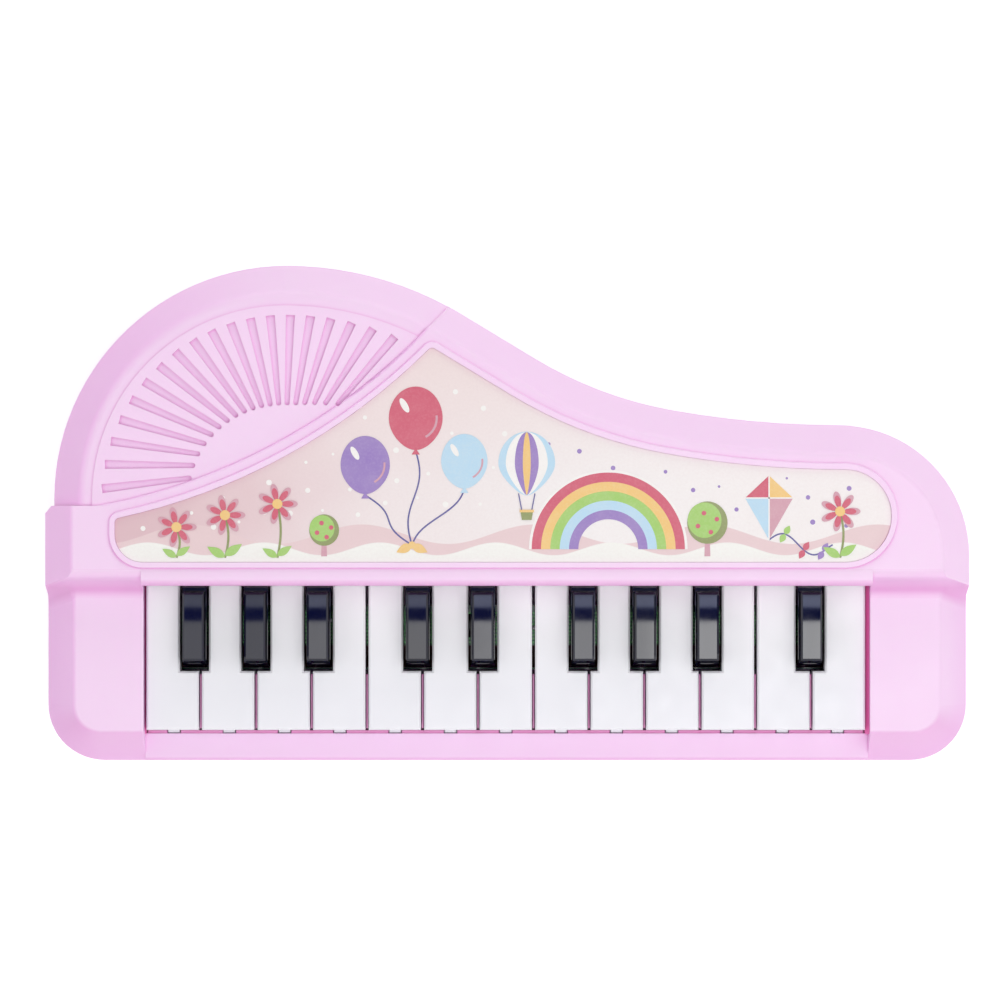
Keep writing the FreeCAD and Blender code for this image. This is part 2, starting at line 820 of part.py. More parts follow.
def key_rail():
    left = keyboard_left + key_gap / 2
    right = keyboard_left + keyboard_width - key_gap / 2
    low = hinge_z - key_rail_below
    high = hinge_z + key_rail_above
    bar = box(left, right, hinge_y - key_rail_front, rail_back_y, low, high)
    seat = hinge_bead_radius + hinge_clearance
    bead_way = Part.makeCylinder(seat, right - left, Vector(left, hinge_y, hinge_z), Vector(1, 0, 0))
    mouth_half = hinge_neck / 2 + running_clearance
    mouth = box(left, right, hinge_y - key_rail_front, hinge_y, hinge_z - mouth_half, hinge_z + mouth_half)
    return bar.cut([bead_way, mouth])


def main_board():
    left = keyboard_left + board_side_gap
    right = keyboard_left + keyboard_width - board_side_gap
    board = box(left, right, board_front_y, board_rear_y, board_height, board_top_z)
    holes = [post(x, board_screw_y(), screw_clear_radius, 0, far)
             for x in spread(board_screw_count, board_screw_margin)]
    return board.cut(holes)


def key_pad_places():
    places = []
    for index in range(1, white_key_count + 1):
        left, right = white_key_sides(index)
        places.append((left + right) / 2)
    for order in range(len(sharp_after)):
        places.append(sharp_x(order))
    return sorted(places)


def contact_strip():
    side_gap = board_side_gap + strip_side_gap
    left = keyboard_left + side_gap
    right = keyboard_left + keyboard_width - side_gap
    top = board_top_z + strip_thickness
    base = box(left, right, strip_front_y, strip_front_y + strip_depth, board_top_z, top)
    pads = []
    for x in key_pad_places():
        low = rectangle(x, pad_y, dome_pad_base, dome_pad_base, top)
        pads.append(frustum(low, rectangle(x, pad_y, dome_pad_top, dome_pad_top, pad_top_z)))
    return base.fuse(pads).removeSplitter()


def chip_blob():
    y = board_screw_y() - chip_radius / 2
    return cone(chip_x, y, chip_radius, chip_top_radius, board_top_z, board_top_z + chip_height)


# Speaker
def speaker_frame():
    low = floor_z
    flange_top = low + speaker_flange
    top = flange_top + speaker_basket_height
    flange = post(speaker_x, speaker_y, speaker_radius, low, flange_top)
    basket_radius = speaker_radius - speaker_ring_wall
    basket = cone(speaker_x, speaker_y, basket_radius, speaker_basket_top_radius, flange_top, top)
    mouth = post(speaker_x, speaker_y, basket_radius - speaker_sheet, low, flange_top)
    inside = cone(speaker_x, speaker_y, basket_radius - speaker_sheet,
                  speaker_basket_top_radius - speaker_sheet, flange_top, top - speaker_sheet)
    return flange.fuse(basket).cut([mouth, inside])


def speaker_cone():
    low = floor_z + running_clearance
    high = low + speaker_cone_depth
    outside = cone(speaker_x, speaker_y, speaker_cone_radius, speaker_cone_throat, low, high)
    inside = cone(speaker_x, speaker_y, speaker_cone_radius - speaker_sheet,
                  speaker_cone_throat - speaker_sheet, low, high - speaker_sheet)
    rim = post(speaker_x, speaker_y, speaker_radius - speaker_ring_wall - speaker_sheet - seat_clearance,
               low, low + speaker_sheet)
    rim = rim.cut(post(speaker_x, speaker_y, speaker_cone_radius - speaker_sheet, 0, far))
    coil_top = floor_z + speaker_flange + speaker_basket_height - speaker_sheet
    coil = post(speaker_x, speaker_y, speaker_cone_throat - speaker_sheet, high - speaker_sheet, coil_top)
    return joined([outside.cut(inside), rim, coil])


def speaker_magnet():
    low = floor_z + speaker_flange + speaker_basket_height
    magnet = post(speaker_x, speaker_y, speaker_magnet_radius, low, low + speaker_magnet_height)
    return magnet.makeChamfer(speaker_sheet / 2, edges_at_height(magnet, low + speaker_magnet_height))


# Battery box
battery_half_length = (cell_length + cell_tip_length) / 2 + battery_end_room
battery_half_width = cell_count * cell_radius + (cell_count - 1) * cell_gap / 2 + cell_side_gap
battery_left = battery_centre_x - battery_half_length
battery_right = battery_centre_x + battery_half_length
battery_front = battery_centre_y - battery_half_width
battery_back = battery_centre_y + battery_half_width
cell_z = floor_z + door_rib_height + cell_radius + seat_clearance
battery_ceiling = cell_z + cell_radius + seat_clearance
door_pin_x = battery_left - door_pin_setback
door_pin_z = foot_height + door_thickness / 2


def cell_y(number):
    return battery_centre_y + (number - (cell_count - 1) / 2) * (2 * cell_radius + cell_gap)


def battery_cell(number):
    """One round cell; the two lie head to tail."""
    heading = 1 - 2 * number
    start = battery_centre_x - heading * (cell_length + cell_tip_length) / 2
    axis = Vector(heading, 0, 0)
    base = Vector(start, cell_y(number), cell_z)
    can = Part.makeCylinder(cell_radius, cell_length, base, axis)
    tip = Part.makeCylinder(cell_tip_radius, cell_tip_length, base + axis * cell_length, axis)
    return can.fuse(tip).removeSplitter()


def battery_contacts():
    """End plates, each with a bowed leaf that bears on its cell."""
    pieces = []
    for number in range(cell_count):
        for side in (-1, 1):
            wall_x = battery_centre_x + side * battery_half_length
            inner_x = wall_x - side * battery_contact_sheet
            y = cell_y(number)
            half = battery_contact_height / 2
            plate = box(min(wall_x, inner_x), max(wall_x, inner_x), y - half, y + half,
                        cell_z - half, cell_z + half)
            leaf_x = inner_x - side * battery_leaf_bulge
            bow = Part.Arc(Vector(inner_x, y - half, cell_z - cell_tip_radius),
                           Vector(leaf_x, y, cell_z - cell_tip_radius),
                           Vector(inner_x, y + half, cell_z - cell_tip_radius)).toShape()
            chord = line(Vector(inner_x, y + half, cell_z - cell_tip_radius),
                         Vector(inner_x, y - half, cell_z - cell_tip_radius))
            leaf = prism(Part.Wire([bow, chord]), 2 * cell_tip_radius)
            pieces.append(joined([plate, leaf]))
    return Part.makeCompound(pieces)


def door_pin(side, radius, extra):
    y = battery_centre_y + side * door_pin_offset
    half = door_pin_length / 2 + extra
    return Part.makeCylinder(radius, 2 * half, Vector(door_pin_x, y - half, door_pin_z), Vector(0, 1, 0))


def battery_door():
    low = foot_height
    high = foot_height + door_thickness
    left = battery_left + door_gap
    right = battery_right - door_gap
    front = battery_front + door_gap
    back = battery_back - door_gap
    plate = box(left, right, front, back, low, high)
    pieces = [plate]
    for side in (-1, 1):
        y = battery_centre_y + side * door_pin_offset
        half = door_pin_length / 2
        arm = box(door_pin_x, left, y - half, y + half, door_pin_z - door_pin_radius,
                  door_pin_z + door_pin_radius)
        pieces.append(door_pin(side, door_pin_radius, 0.0))
        pieces.append(arm)
    for number in range(cell_count):
        for side in (-1, 1):
            x = battery_centre_x + side * door_rib_spacing / 2
            rib = box(x - door_rib_width / 2, x + door_rib_width / 2,
                      cell_y(number) - door_rib_length / 2, cell_y(number) + door_rib_length / 2,
                      high, high + door_rib_height)
            pieces.append(rib)
    door = joined(pieces)
    grips = []
    for number in range(1, door_grip_count + 1):
        x = right - door_grip_pitch * number
        grips.append(box(x, x + door_grip_width, battery_centre_y - door_grip_length / 2,
                         battery_centre_y + door_grip_length / 2, low, low + door_grip_depth))
    return door.cut(grips)


def door_pin_seats():
    """Rooms in the floor for the door's pins, open below and towards the door."""
    rooms = []
    for side in (-1, 1):
        y = battery_centre_y + side * door_pin_offset
        half = door_pin_length / 2 + running_clearance
        seat = door_pin_radius + hinge_clearance
        room = door_pin(side, seat, running_clearance)
        way = box(door_pin_x, battery_left + door_gap, y - half, y + half, 0, door_pin_z + seat)
        below = box(door_pin_x - seat, door_pin_x, y - half, y + half, 0, door_pin_z)
        rooms.extend([room, way, below])
    return rooms


# Switch
def switch_body():
    low = floor_z
    body = box(switch_x - switch_length / 2, switch_x + switch_length / 2,
               switch_y - switch_width / 2, switch_y + switch_width / 2, low, low + switch_body_height)
    room_half = (switch_travel + switch_shoe_length) / 2 + running_clearance
    shoe_half = switch_shoe_width / 2 + running_clearance
    room = box(switch_x - room_half, switch_x + room_half, switch_y - shoe_half, switch_y + shoe_half,
               low, low + switch_shoe_height + 2 * running_clearance)
    return body.cut(room)


def switch_slider():
    x = switch_x - switch_travel / 2
    low = floor_z + running_clearance
    shoe = box(x - switch_shoe_length / 2, x + switch_shoe_length / 2,
               switch_y - switch_shoe_width / 2, switch_y + switch_shoe_width / 2,
               low, low + switch_shoe_height)
    nub = box(x - switch_nub_length / 2, x + switch_nub_length / 2,
              switch_y - switch_nub_width / 2, switch_y + switch_nub_width / 2,
              foot_height - switch_nub_proud, low)
    return joined([shoe, nub])


def switch_slot():
    half = (switch_travel + switch_nub_length) / 2 + running_clearance
    side = switch_nub_width / 2 + running_clearance
    return box(switch_x - half, switch_x + half, switch_y - side, switch_y + side, 0, floor_z)


# Bottom shell
def sound_slots():
    """Straight slots in front of the speaker, shorter towards the sides of their round field."""
    slots = []
    for number in range(sound_slot_count):
        offset = sound_slot_spacing * (number - (sound_slot_count - 1) / 2)
        half = math.sqrt(sound_field_radius ** 2 - offset ** 2)
        y = speaker_y + offset
        slots.append(box(speaker_x - half, speaker_x + half, y - sound_slot_width / 2,
                         y + sound_slot_width / 2, 0, floor_z))
    return slots


def screw_tip_z():
    return foot_height + tower_bore_depth + case_screw_length


def bottom_shell():
    low = foot_height
    outer = Part.makeLoft([case_outline(bottom_draft, low), case_outline(0.0, parting_height)], True, True)
    outer = outer.makeFillet(bottom_edge_radius, edges_at_height(outer, low))
    hollow = prism(case_outline(wall, floor_z), far)
    tray = outer.cut(hollow)
    lap = prism(case_outline(wall - lap_thickness, parting_height), lap_height)
    lap = lap.cut(prism(case_outline(wall, 0), far))
    lap = lap.cut(box(opening_left - wall, opening_right + wall, -far, rail_rear_y, 0, far))
    box_wall = box(battery_left - battery_box_wall, battery_right + battery_box_wall,
                   battery_front - battery_box_wall, battery_back + battery_box_wall,
                   low, battery_ceiling + battery_box_wall)
    pin_block = box(door_pin_x - door_pin_block / 2, battery_left, battery_front - battery_box_wall,
                    battery_back + battery_box_wall, low, floor_z + battery_box_wall)
    battery_room = box(battery_left, battery_right, battery_front, battery_back, 0, battery_ceiling)
    ring = post(speaker_x, speaker_y, speaker_radius + seat_clearance + speaker_ring_wall, low,
                floor_z + speaker_ring_height)
    speaker_room = post(speaker_x, speaker_y, speaker_radius + seat_clearance, floor_z, far)
    adds = [lap, box_wall, pin_block, ring]
    cuts = [battery_room, speaker_room, switch_slot()]
    for x in rail_rib_places():
        rib_left = x - rail_rib_width / 2
        rib_right = x + rail_rib_width / 2
        adds.append(box(rib_left, rib_right, hinge_y - key_rail_front, rail_back_y, low,
                        hinge_z - key_rail_below))
        adds.append(box(rib_left, rib_right, rail_back_y, rail_back_y + rail_rib_width, low, hinge_z))
    for x in spread(board_screw_count, board_screw_margin):
        adds.append(box(x - board_rib_width / 2, x + board_rib_width / 2, board_front_y,
                        board_front_y + board_rib_depth, low, board_height))
        adds.append(post(x, board_screw_y(), board_post_radius, low, board_height))
        cuts.append(post(x, board_screw_y(), screw_shank_radius + hinge_clearance, floor_z, far))
    for x, y in case_screw_places:
        adds.append(post(x, y, tower_radius, low, parting_height))
        cuts.append(post(x, y, tower_bore_radius, 0, low + tower_bore_depth))
        cuts.append(post(x, y, screw_clear_radius, 0, far))
    shell = tray.fuse(adds).cut(cuts + door_pin_seats() + sound_slots())
    return shell.removeSplitter()


# Screws and feet
def screw(x, y, head_z, heading, length):
    """A pan-head screw that points up or down from the seat under its head."""
    seat = Vector(x, y, head_z)
    along = Vector(0, 0, heading)
    head = Part.makeCylinder(screw_head_radius, screw_head_height, seat, -along)
    shank = Part.makeCylinder(screw_shank_radius, length, seat, along)
    return head.fuse(shank)


def case_screws():
    seat = foot_height + tower_bore_depth
    return Part.makeCompound([screw(x, y, seat, 1, case_screw_length) for x, y in case_screw_places])


def board_screws():
    length = board_top_z - floor_z - running_clearance
    places = spread(board_screw_count, board_screw_margin)
    return Part.makeCompound([screw(x, board_screw_y(), board_top_z, -1, length) for x in places])


def rubber_feet():
    return Part.makeCompound([post(x, y, foot_radius, 0, foot_height) for x, y in foot_places])


def main():
    os.makedirs("parts", exist_ok=True)
    save("top_shell", top_shell())
    save("bottom_shell", bottom_shell())
    save("panel_label", panel_label())
    for index in range(1, white_key_count + 1):
        save("white_key_%02d" % index, white_key(index))
    for order in range(len(sharp_after)):
        save("black_key_%02d" % (order + 1), black_key(order))
    save("key_rail", key_rail())
    save("main_board", main_board())
    save("contact_strip", contact_strip())
    save("chip_blob", chip_blob())
    save("speaker_frame", speaker_frame())
    save("speaker_cone", speaker_cone())
    save("speaker_magnet", speaker_magnet())
    for number in range(cell_count):
        save("battery_cell_%d" % (number + 1), battery_cell(number))
    save("battery_contacts", battery_contacts())
    save("battery_door", battery_door())
    save("switch_body", switch_body())
    save("switch_slider", switch_slider())
    save("case_screws", case_screws())
    save("board_screws", board_screws())
    save("rubber_feet", rubber_feet())


main()
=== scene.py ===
"""Looks of a small battery keyboard in a grand outline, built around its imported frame."""

import logging
import math
from collections.abc import Mapping, Sequence
from dataclasses import dataclass, field
from enum import Enum
from typing import Any

import bmesh
import bpy
from mathutils import Matrix, Vector


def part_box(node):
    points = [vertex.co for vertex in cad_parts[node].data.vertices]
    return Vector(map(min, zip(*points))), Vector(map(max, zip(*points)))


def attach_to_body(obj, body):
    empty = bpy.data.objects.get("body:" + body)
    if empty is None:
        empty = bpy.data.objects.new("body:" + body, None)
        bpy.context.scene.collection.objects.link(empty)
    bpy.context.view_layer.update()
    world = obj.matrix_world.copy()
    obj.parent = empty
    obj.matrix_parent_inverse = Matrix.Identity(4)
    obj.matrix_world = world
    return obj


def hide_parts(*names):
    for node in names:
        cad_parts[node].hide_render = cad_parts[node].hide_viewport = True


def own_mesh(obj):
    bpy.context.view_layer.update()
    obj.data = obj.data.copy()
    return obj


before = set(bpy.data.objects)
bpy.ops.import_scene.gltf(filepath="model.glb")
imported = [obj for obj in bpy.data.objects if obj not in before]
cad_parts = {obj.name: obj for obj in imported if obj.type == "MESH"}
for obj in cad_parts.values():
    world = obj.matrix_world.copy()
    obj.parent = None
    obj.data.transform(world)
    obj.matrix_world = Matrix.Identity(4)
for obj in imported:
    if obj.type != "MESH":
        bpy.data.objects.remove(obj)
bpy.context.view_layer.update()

LOG = logging.getLogger("keyboard")
MM = 0.001
CASE = "case"
WHITE = (1.0, 1.0, 1.0, 1.0)

# Lays a prism whose outline was drawn as Y and Z along X
ALONG_X = Matrix(((0, 0, 1, 0), (1, 0, 0, 0), (0, 1, 0, 0), (0, 0, 0, 1)))

Srgb = tuple[int, int, int]
Rgba = tuple[float, float, float, float]
Point = tuple[float, float]
Place = tuple[float, float, float]
Socket = bpy.types.NodeSocket
Material = bpy.types.Material
Piece = bpy.types.Object


# Colours and node trees


def linear(colour: Srgb) -> Rgba:
    """Convert an 8-bit sRGB colour to Blender's linear colour.

    Args:
        colour: red, green and blue from 0 to 255.

    Returns:
        The linear colour with full alpha.
    """
    parts = [value / 255 for value in colour]
    red, green, blue = (s / 12.92 if s <= 0.04045 else ((s + 0.055) / 1.055) ** 2.4 for s in parts)
    return red, green, blue, 1.0


class Nodes:
    """A node tree under construction, with one call for each kind of node that several trees need."""

    def __init__(self, tree: bpy.types.NodeTree) -> None:
        """Keep the tree that gets the nodes."""
        self.tree = tree

    def feed(self, socket: Socket, value: Any) -> None:
        """Link an output socket to an input, or set a plain value on it."""
        if isinstance(value, bpy.types.NodeSocket):
            self.tree.links.new(value, socket)
        else:
            socket.default_value = value

    def node(self, kind: str, inputs: Mapping[Any, Any], **settings: Any) -> bpy.types.Node:
        """Add one node, with its settings, values and links.

        Args:
            kind: Blender's name of the node type.
            inputs: values or output sockets, by input name or number.
            settings: the node's own properties.

        Returns:
            The new node.
        """
        node = self.tree.nodes.new(kind)
        for name, value in settings.items():
            setattr(node, name, value)
        for key, value in inputs.items():
            self.feed(node.inputs[key], value)
        return node

    def math(self, operation: str, *terms: Any) -> Socket:
        """Work one sum on values or sockets."""
        return self.node("ShaderNodeMath", dict(enumerate(terms)), operation=operation).outputs[0]

    def split(self, vector: Socket) -> list[Socket]:
        """Split a vector into X, Y and Z."""
        return list(self.node("ShaderNodeSeparateXYZ", {0: vector}).outputs)

    def span(self, value: Socket, low: float, high: float, start: float = 0.0, end: float = 1.0) -> Socket:
        """Stretch a value from low..high to start..end, and hold it there.

        Args:
            value: the socket to stretch.
            low: the value that becomes start.
            high: the value that becomes end.
            start: the first result.
            end: the last result.

        Returns:
            The stretched value.
        """
        inputs = {"Value": value, "From Min": low, "From Max": high, "To Min": start, "To Max": end}
        return self.node("ShaderNodeMapRange", inputs).outputs["Result"]

    def mix(self, share: Any, first: Any, second: Any) -> Socket:
        """Mix two colours.

        Args:
            share: how much of the second colour, from 0 to 1.
            first: a colour or a socket.
            second: a colour or a socket.

        Returns:
            The mixed colour.
        """
        # Inputs 6 and 7 and output 2 are those for colours
        return self.node("ShaderNodeMix", {0: share, 6: first, 7: second}, data_type="RGBA").outputs[2]


class Shade(Nodes):
    """A material under construction."""

    def __init__(self, name: str) -> None:
        """Start a material with one principled surface.

        Args:
            name: the material's name.
        """
        self.material = bpy.data.materials.new(name)
        self.material.use_nodes = True
        super().__init__(self.material.node_tree)
        self.tree.nodes.clear()
        self.surface = self.node("ShaderNodeBsdfPrincipled", {})
        self.node("ShaderNodeOutputMaterial", {"Surface": self.surface.outputs["BSDF"]})
        self.place = self.node("ShaderNodeTexCoord", {}).outputs["Object"]

    def put(self, **values: Any) -> None:
        """Set or link sockets of the surface.

        Args:
            values: a value or a socket for each socket name, with _ for a space.
        """
        for name, value in values.items():
            self.feed(self.surface.inputs[name.replace("_", " ")], value)

    def veil(self, weight: float, depth: float, tint: Place) -> None:
        """Let a share of the light into the plastic, to a depth in mm and more of it in some colours."""
        self.put(IOR=1.5, Subsurface_Weight=weight, Subsurface_Scale=depth * MM, Subsurface_Radius=tint)

    def noise(self, size: float, detail: float = 2.0, place: Socket | None = None) -> Socket:
        """Make a noise field.

        Args:
            size: about how large one blotch is, in mm.
            detail: octaves of finer noise.
            place: the coordinates to read, or the object's own.

        Returns:
            The noise value, about 0.5 on average.
        """
        vector = self.place if place is None else place
        inputs = {"Vector": vector, "Scale": 1 / (size * MM), "Detail": detail, "Roughness": 0.55}
        return self.node("ShaderNodeTexNoise", inputs).outputs["Fac"]

    def cloud(self, size: float, detail: float = 2.0, start: float = 0.0, end: float = 1.0,
              usual: Point = (0.3, 0.7)) -> Socket:
        """Make a noise field that runs between two values.

        Args:
            size: about how large one blotch is, in mm.
            detail: octaves of finer noise.
            start: the least result.
            end: the greatest result.
            usual: the noise values that become start and end.

        Returns:
            The value.
        """
        return self.span(self.noise(size, detail), *usual, start, end)

    def axes(self) -> list[Socket]:
        """Split the object coordinates into X, Y and Z, in metres."""
        return self.split(self.place)

    def normal(self, axis: int) -> Socket:
        """Give the surface's normal along one axis."""
        return self.split(self.node("ShaderNodeNewGeometry", {}).outputs["Normal"])[axis]

    def ramp(self, value: Socket, stops: Sequence[tuple[float, Srgb]]) -> Socket:
        """Turn a value into a colour.

        Args:
            value: the socket that runs from 0 to 1.
            stops: each stop's place and colour.

        Returns:
            The colour.
        """
        node = self.node("ShaderNodeValToRGB", {"Fac": value})
        marks = node.color_ramp.elements
        while len(marks) < len(stops):
            marks.new(0.5)
        for mark, (at, colour) in zip(marks, stops):
            mark.position = at
            mark.color = linear(colour)
        return node.outputs["Color"]

    def hollow(self, reach: float) -> Socket:
        """Find grooves and inner corners.

        Args:
            reach: how far off a wall still counts, in mm.

        Returns:
            0 on open faces, 1 deep in a groove.
        """
        bare, deep = 0.92, 0.35
        inputs = {"Distance": reach * MM}
        open_share = self.node("ShaderNodeAmbientOcclusion", inputs, samples=8).outputs["AO"]
        return self.span(open_share, bare, deep)

    def bump(self, height: Socket, depth: float, under: Socket | None = None) -> Socket:
        """Raise the surface's normals.

        Args:
            height: the height field.
            depth: how high one unit of it is, in mm.
            under: the normal of a bump below this one.

        Returns:
            The bumped normal, which the surface now uses.
        """
        inputs: dict[str, Any] = {"Height": height, "Distance": depth * MM, "Strength": 1.0}
        if under is not None:
            inputs["Normal"] = under
        normal = self.node("ShaderNodeBump", inputs).outputs["Normal"]
        self.put(Normal=normal)
        return normal


# Finishes


@dataclass(frozen=True)
class MouldedPlastic:
    """Satin plastic from a mould, with a fine spark grain, slow shifts of colour and some light through it.

    Steep faces, faces that look left or to the player, low places and grooves can each take a painted shade,
    deeper or more saturated than the colour. The painted shade on the player's side is weaker near the front
    and on the deck's edge.
    """

    name: str
    colour: Srgb
    deep: Srgb
    roughness: float = 0.42
    grain: float = 0.45
    grain_depth: float = 0.012
    veil: float = 0.0
    veil_depth: float = 1.6
    veil_tint: Place = (1.0, 0.7, 0.95)
    # Painted shade: a deeper colour in grooves and inner corners, where ambient occlusion finds them
    crevice_shade: Srgb | None = None
    crevice_shade_reach: float = 1.0
    # Painted shade: a more saturated pink on steep faces
    slope_shade: Srgb | None = None
    slope_shade_span: Point = (0.97, 0.45)
    # Painted shade: a deeper pink on faces that look left, away from the main light
    left: Srgb | None = None
    left_shade_lean: float = 0.6
    # Painted shade: a deeper pink on faces that look to the player, such as the cove under the deck
    front: Srgb | None = None
    front_shade_lean: float = 0.45
    front_shade_run: Point = (-62.0, -30.0)
    front_shade_share: float = 0.58
    deck_edge: Place = (-15.0, -17.0, -20.0)
    deck_edge_shade_share: float = 0.15
    # Painted shade: a deeper pink low down on the walls
    foot: Srgb | None = None
    foot_shade_run: Point = (24.0, 5.0)

    def front_shade_weight(self, shade: Shade) -> Socket:
        """Find the faces that look to the player, for their painted shade.

        Args:
            shade: the material that asks.

        Returns:
            0 on other faces, up to 1 on steep ones.
        """
        y = shade.axes()[1]
        near, far = (at * MM for at in self.front_shade_run)
        rear, edge, root = (at * MM for at in self.deck_edge)
        before = shade.span(y, edge, root, self.deck_edge_shade_share, 1.0)
        spared = shade.math("MAXIMUM", before, shade.math("GREATER_THAN", y, rear))
        weight = shade.math("MULTIPLY", shade.span(y, near, far, self.front_shade_share, 1.0), spared)
        return shade.math("MULTIPLY", shade.span(shade.normal(1), 0.0, -self.front_shade_lean), weight)

    def make(self) -> Material:
        """Build the material."""
        shade = Shade(self.name)
        drift = shade.cloud(size=55.0, detail=3.0, usual=(0.34, 0.66))
        base = shade.mix(drift, linear(self.colour), linear(self.deep))
        base = shade.mix(shade.cloud(size=1.1, end=0.22), base, linear(self.deep))
        # Painted shade on steep faces
        if self.slope_shade:
            base = shade.mix(shade.span(shade.normal(2), *self.slope_shade_span), base, linear(self.slope_shade))
        # Painted shade on faces that look left
        if self.left:
            base = shade.mix(shade.span(shade.normal(0), 0.0, -self.left_shade_lean), base, linear(self.left))
        # Painted shade on faces that look to the player
        if self.front:
            base = shade.mix(self.front_shade_weight(shade), base, linear(self.front))
        # Painted shade, darker towards the bottom
        if self.foot:
            top, low = (at * MM for at in self.foot_shade_run)
            base = shade.mix(shade.span(shade.axes()[2], top, low), base, linear(self.foot))
        # Painted shade in grooves and inner corners
        if self.crevice_shade:
            base = shade.mix(shade.hollow(self.crevice_shade_reach), base, linear(self.crevice_shade))
        rubbed = shade.cloud(size=9.0, detail=4.0, start=self.roughness - 0.05, end=self.roughness + 0.06)
        shade.put(Base_Color=base, Roughness=rubbed)
        shade.veil(self.veil, self.veil_depth, self.veil_tint)
        shade.bump(shade.noise(self.grain, detail=3.0), self.grain_depth)
        return shade.material


@dataclass(frozen=True)
class KeyGloss:
    """Polished key plastic whose top is very slightly crowned along its length, with painted light that makes
    the colour paler towards the rear.
    """

    name: str
    colour: Srgb
    deep: Srgb
    roughness: float
    middle: float
    crown: float
    veil: float = 0.0
    veil_depth: float = 2.0
    veil_tint: Place = (1.0, 0.94, 0.97)
    ripple: float = 2.5
    ripple_depth: float = 0.0006
    # Painted light: a paler colour towards the rear of the key, against the deck's shade there
    painted_rear_light: Srgb | None = None
    painted_rear_light_run: Point = (-48.0, -20.0)

    def make(self) -> Material:
        """Build the material."""
        shade = Shade(self.name)
        y = shade.axes()[1]
        drift = shade.cloud(size=22.0, detail=3.0, usual=(0.34, 0.66))
        base = shade.mix(drift, linear(self.colour), linear(self.deep))
        # Painted light towards the rear of the key
        if self.painted_rear_light:
            front, rear = (at * MM for at in self.painted_rear_light_run)
            base = shade.mix(shade.span(y, front, rear), base, linear(self.painted_rear_light))
        rubbed = shade.cloud(size=5.0, detail=5.0, start=self.roughness * 0.8, end=self.roughness * 1.35)
        shade.put(Base_Color=base, Roughness=rubbed)
        shade.veil(self.veil, self.veil_depth, self.veil_tint)
        along = shade.math("SUBTRACT", y, self.middle * MM)
        arch = shade.math("MULTIPLY", shade.math("MULTIPLY", along, along), -self.crown)
        arched = shade.bump(arch, 1 / MM)
        shade.bump(shade.noise(self.ripple), self.ripple_depth, arched)
        return shade.material


@dataclass(frozen=True)
class HillBand:
    """A low band of hills: its colour, height, wave and where the wave starts."""

    colour: Srgb
    height: float
    swing: float
    length: float
    lag: float


@dataclass(frozen=True)
class PrintedCard:
    """Coated card with a soft colour wash from end to end and low bands of hills."""

    name: str
    left: float
    right: float
    low: float
    wash: tuple[tuple[float, Srgb], ...]
    hills: tuple[HillBand, ...]
    upper: Srgb
    upper_run: Point = (8.0, 46.0)
    upper_share: float = 0.75
    hill_edge: float = 0.12
    dust: Srgb = (214, 188, 190)
    grain: float = 0.7
    grain_depth: float = 0.012

    def make(self) -> Material:
        """Build the material."""
        shade = Shade(self.name)
        x, y, _ = shade.axes()
        across = shade.span(x, self.left * MM, self.right * MM)
        cloudy = shade.math("ADD", across, shade.cloud(size=30.0, start=-0.04, end=0.04))
        colour = shade.ramp(cloudy, self.wash)
        start, end = (at * MM for at in self.upper_run)
        colour = shade.mix(shade.span(y, start, end, 0.0, self.upper_share), colour, linear(self.upper))
        for hill in self.hills:
            turns = 2 * math.pi / (hill.length * MM)
            wave = shade.math("SINE", shade.math("MULTIPLY_ADD", x, turns, hill.lag))
            crest = shade.math("MULTIPLY_ADD", wave, hill.swing * MM, (self.low + hill.height) * MM)
            below = shade.span(shade.math("SUBTRACT", crest, y), -self.hill_edge * MM, self.hill_edge * MM)
            colour = shade.mix(below, colour, linear(hill.colour))
        grain = shade.noise(self.grain, detail=3.0)
        dusty = shade.span(grain, 0.35, 0.75, start=0.0, end=0.10)
        worn = shade.mix(dusty, colour, linear(self.dust))
        shade.put(Base_Color=worn, Roughness=shade.cloud(size=4.0, start=0.44, end=0.56))
        shade.bump(grain, self.grain_depth)
        return shade.material


@dataclass(frozen=True)
class PrintInk:
    """Flat printing ink that lets a little of the card's grain through."""

    name: str
    colour: Srgb
    worn: Srgb
    grain: float = 0.6
    grain_depth: float = 0.008

    def make(self) -> Material:
        """Build the material."""
        shade = Shade(self.name)
        grain = shade.noise(self.grain, detail=3.0)
        flecks = shade.span(grain, 0.45, 0.75, start=0.0, end=0.4)
        flecked = shade.mix(flecks, linear(self.colour), linear(self.worn))
        drift = shade.cloud(size=6.0, end=0.35)
        shade.put(Base_Color=shade.mix(drift, flecked, linear(self.worn)))
        shade.put(Roughness=shade.cloud(size=3.0, start=0.42, end=0.55))
        shade.bump(grain, self.grain_depth)
        return shade.material


@dataclass(frozen=True)
class BoardLacquer:
    """Solder lacquer over a woven glass board."""

    name: str
    colour: Srgb
    deep: Srgb
    weave: float = 0.8
    weave_depth: float = 0.01

    def make(self) -> Material:
        """Build the material."""
        shade = Shade(self.name)
        turns = 2 * math.pi / (self.weave * MM)
        warp, weft = (shade.math("SINE", shade.math("MULTIPLY", at, turns)) for at in shade.axes()[:2])
        cloth = shade.span(shade.math("MULTIPLY", warp, weft), -1.0, 1.0, start=0.0, end=0.35)
        base = shade.mix(cloth, linear(self.colour), linear(self.deep))
        blotches = shade.cloud(size=7.0, end=0.5, usual=(0.35, 0.65))
        shade.put(Base_Color=shade.mix(blotches, base, linear(self.deep)), Coat_Weight=0.3)
        shade.put(Roughness=shade.cloud(size=3.0, start=0.22, end=0.36))
        shade.bump(cloth, self.weave_depth)
        return shade.material


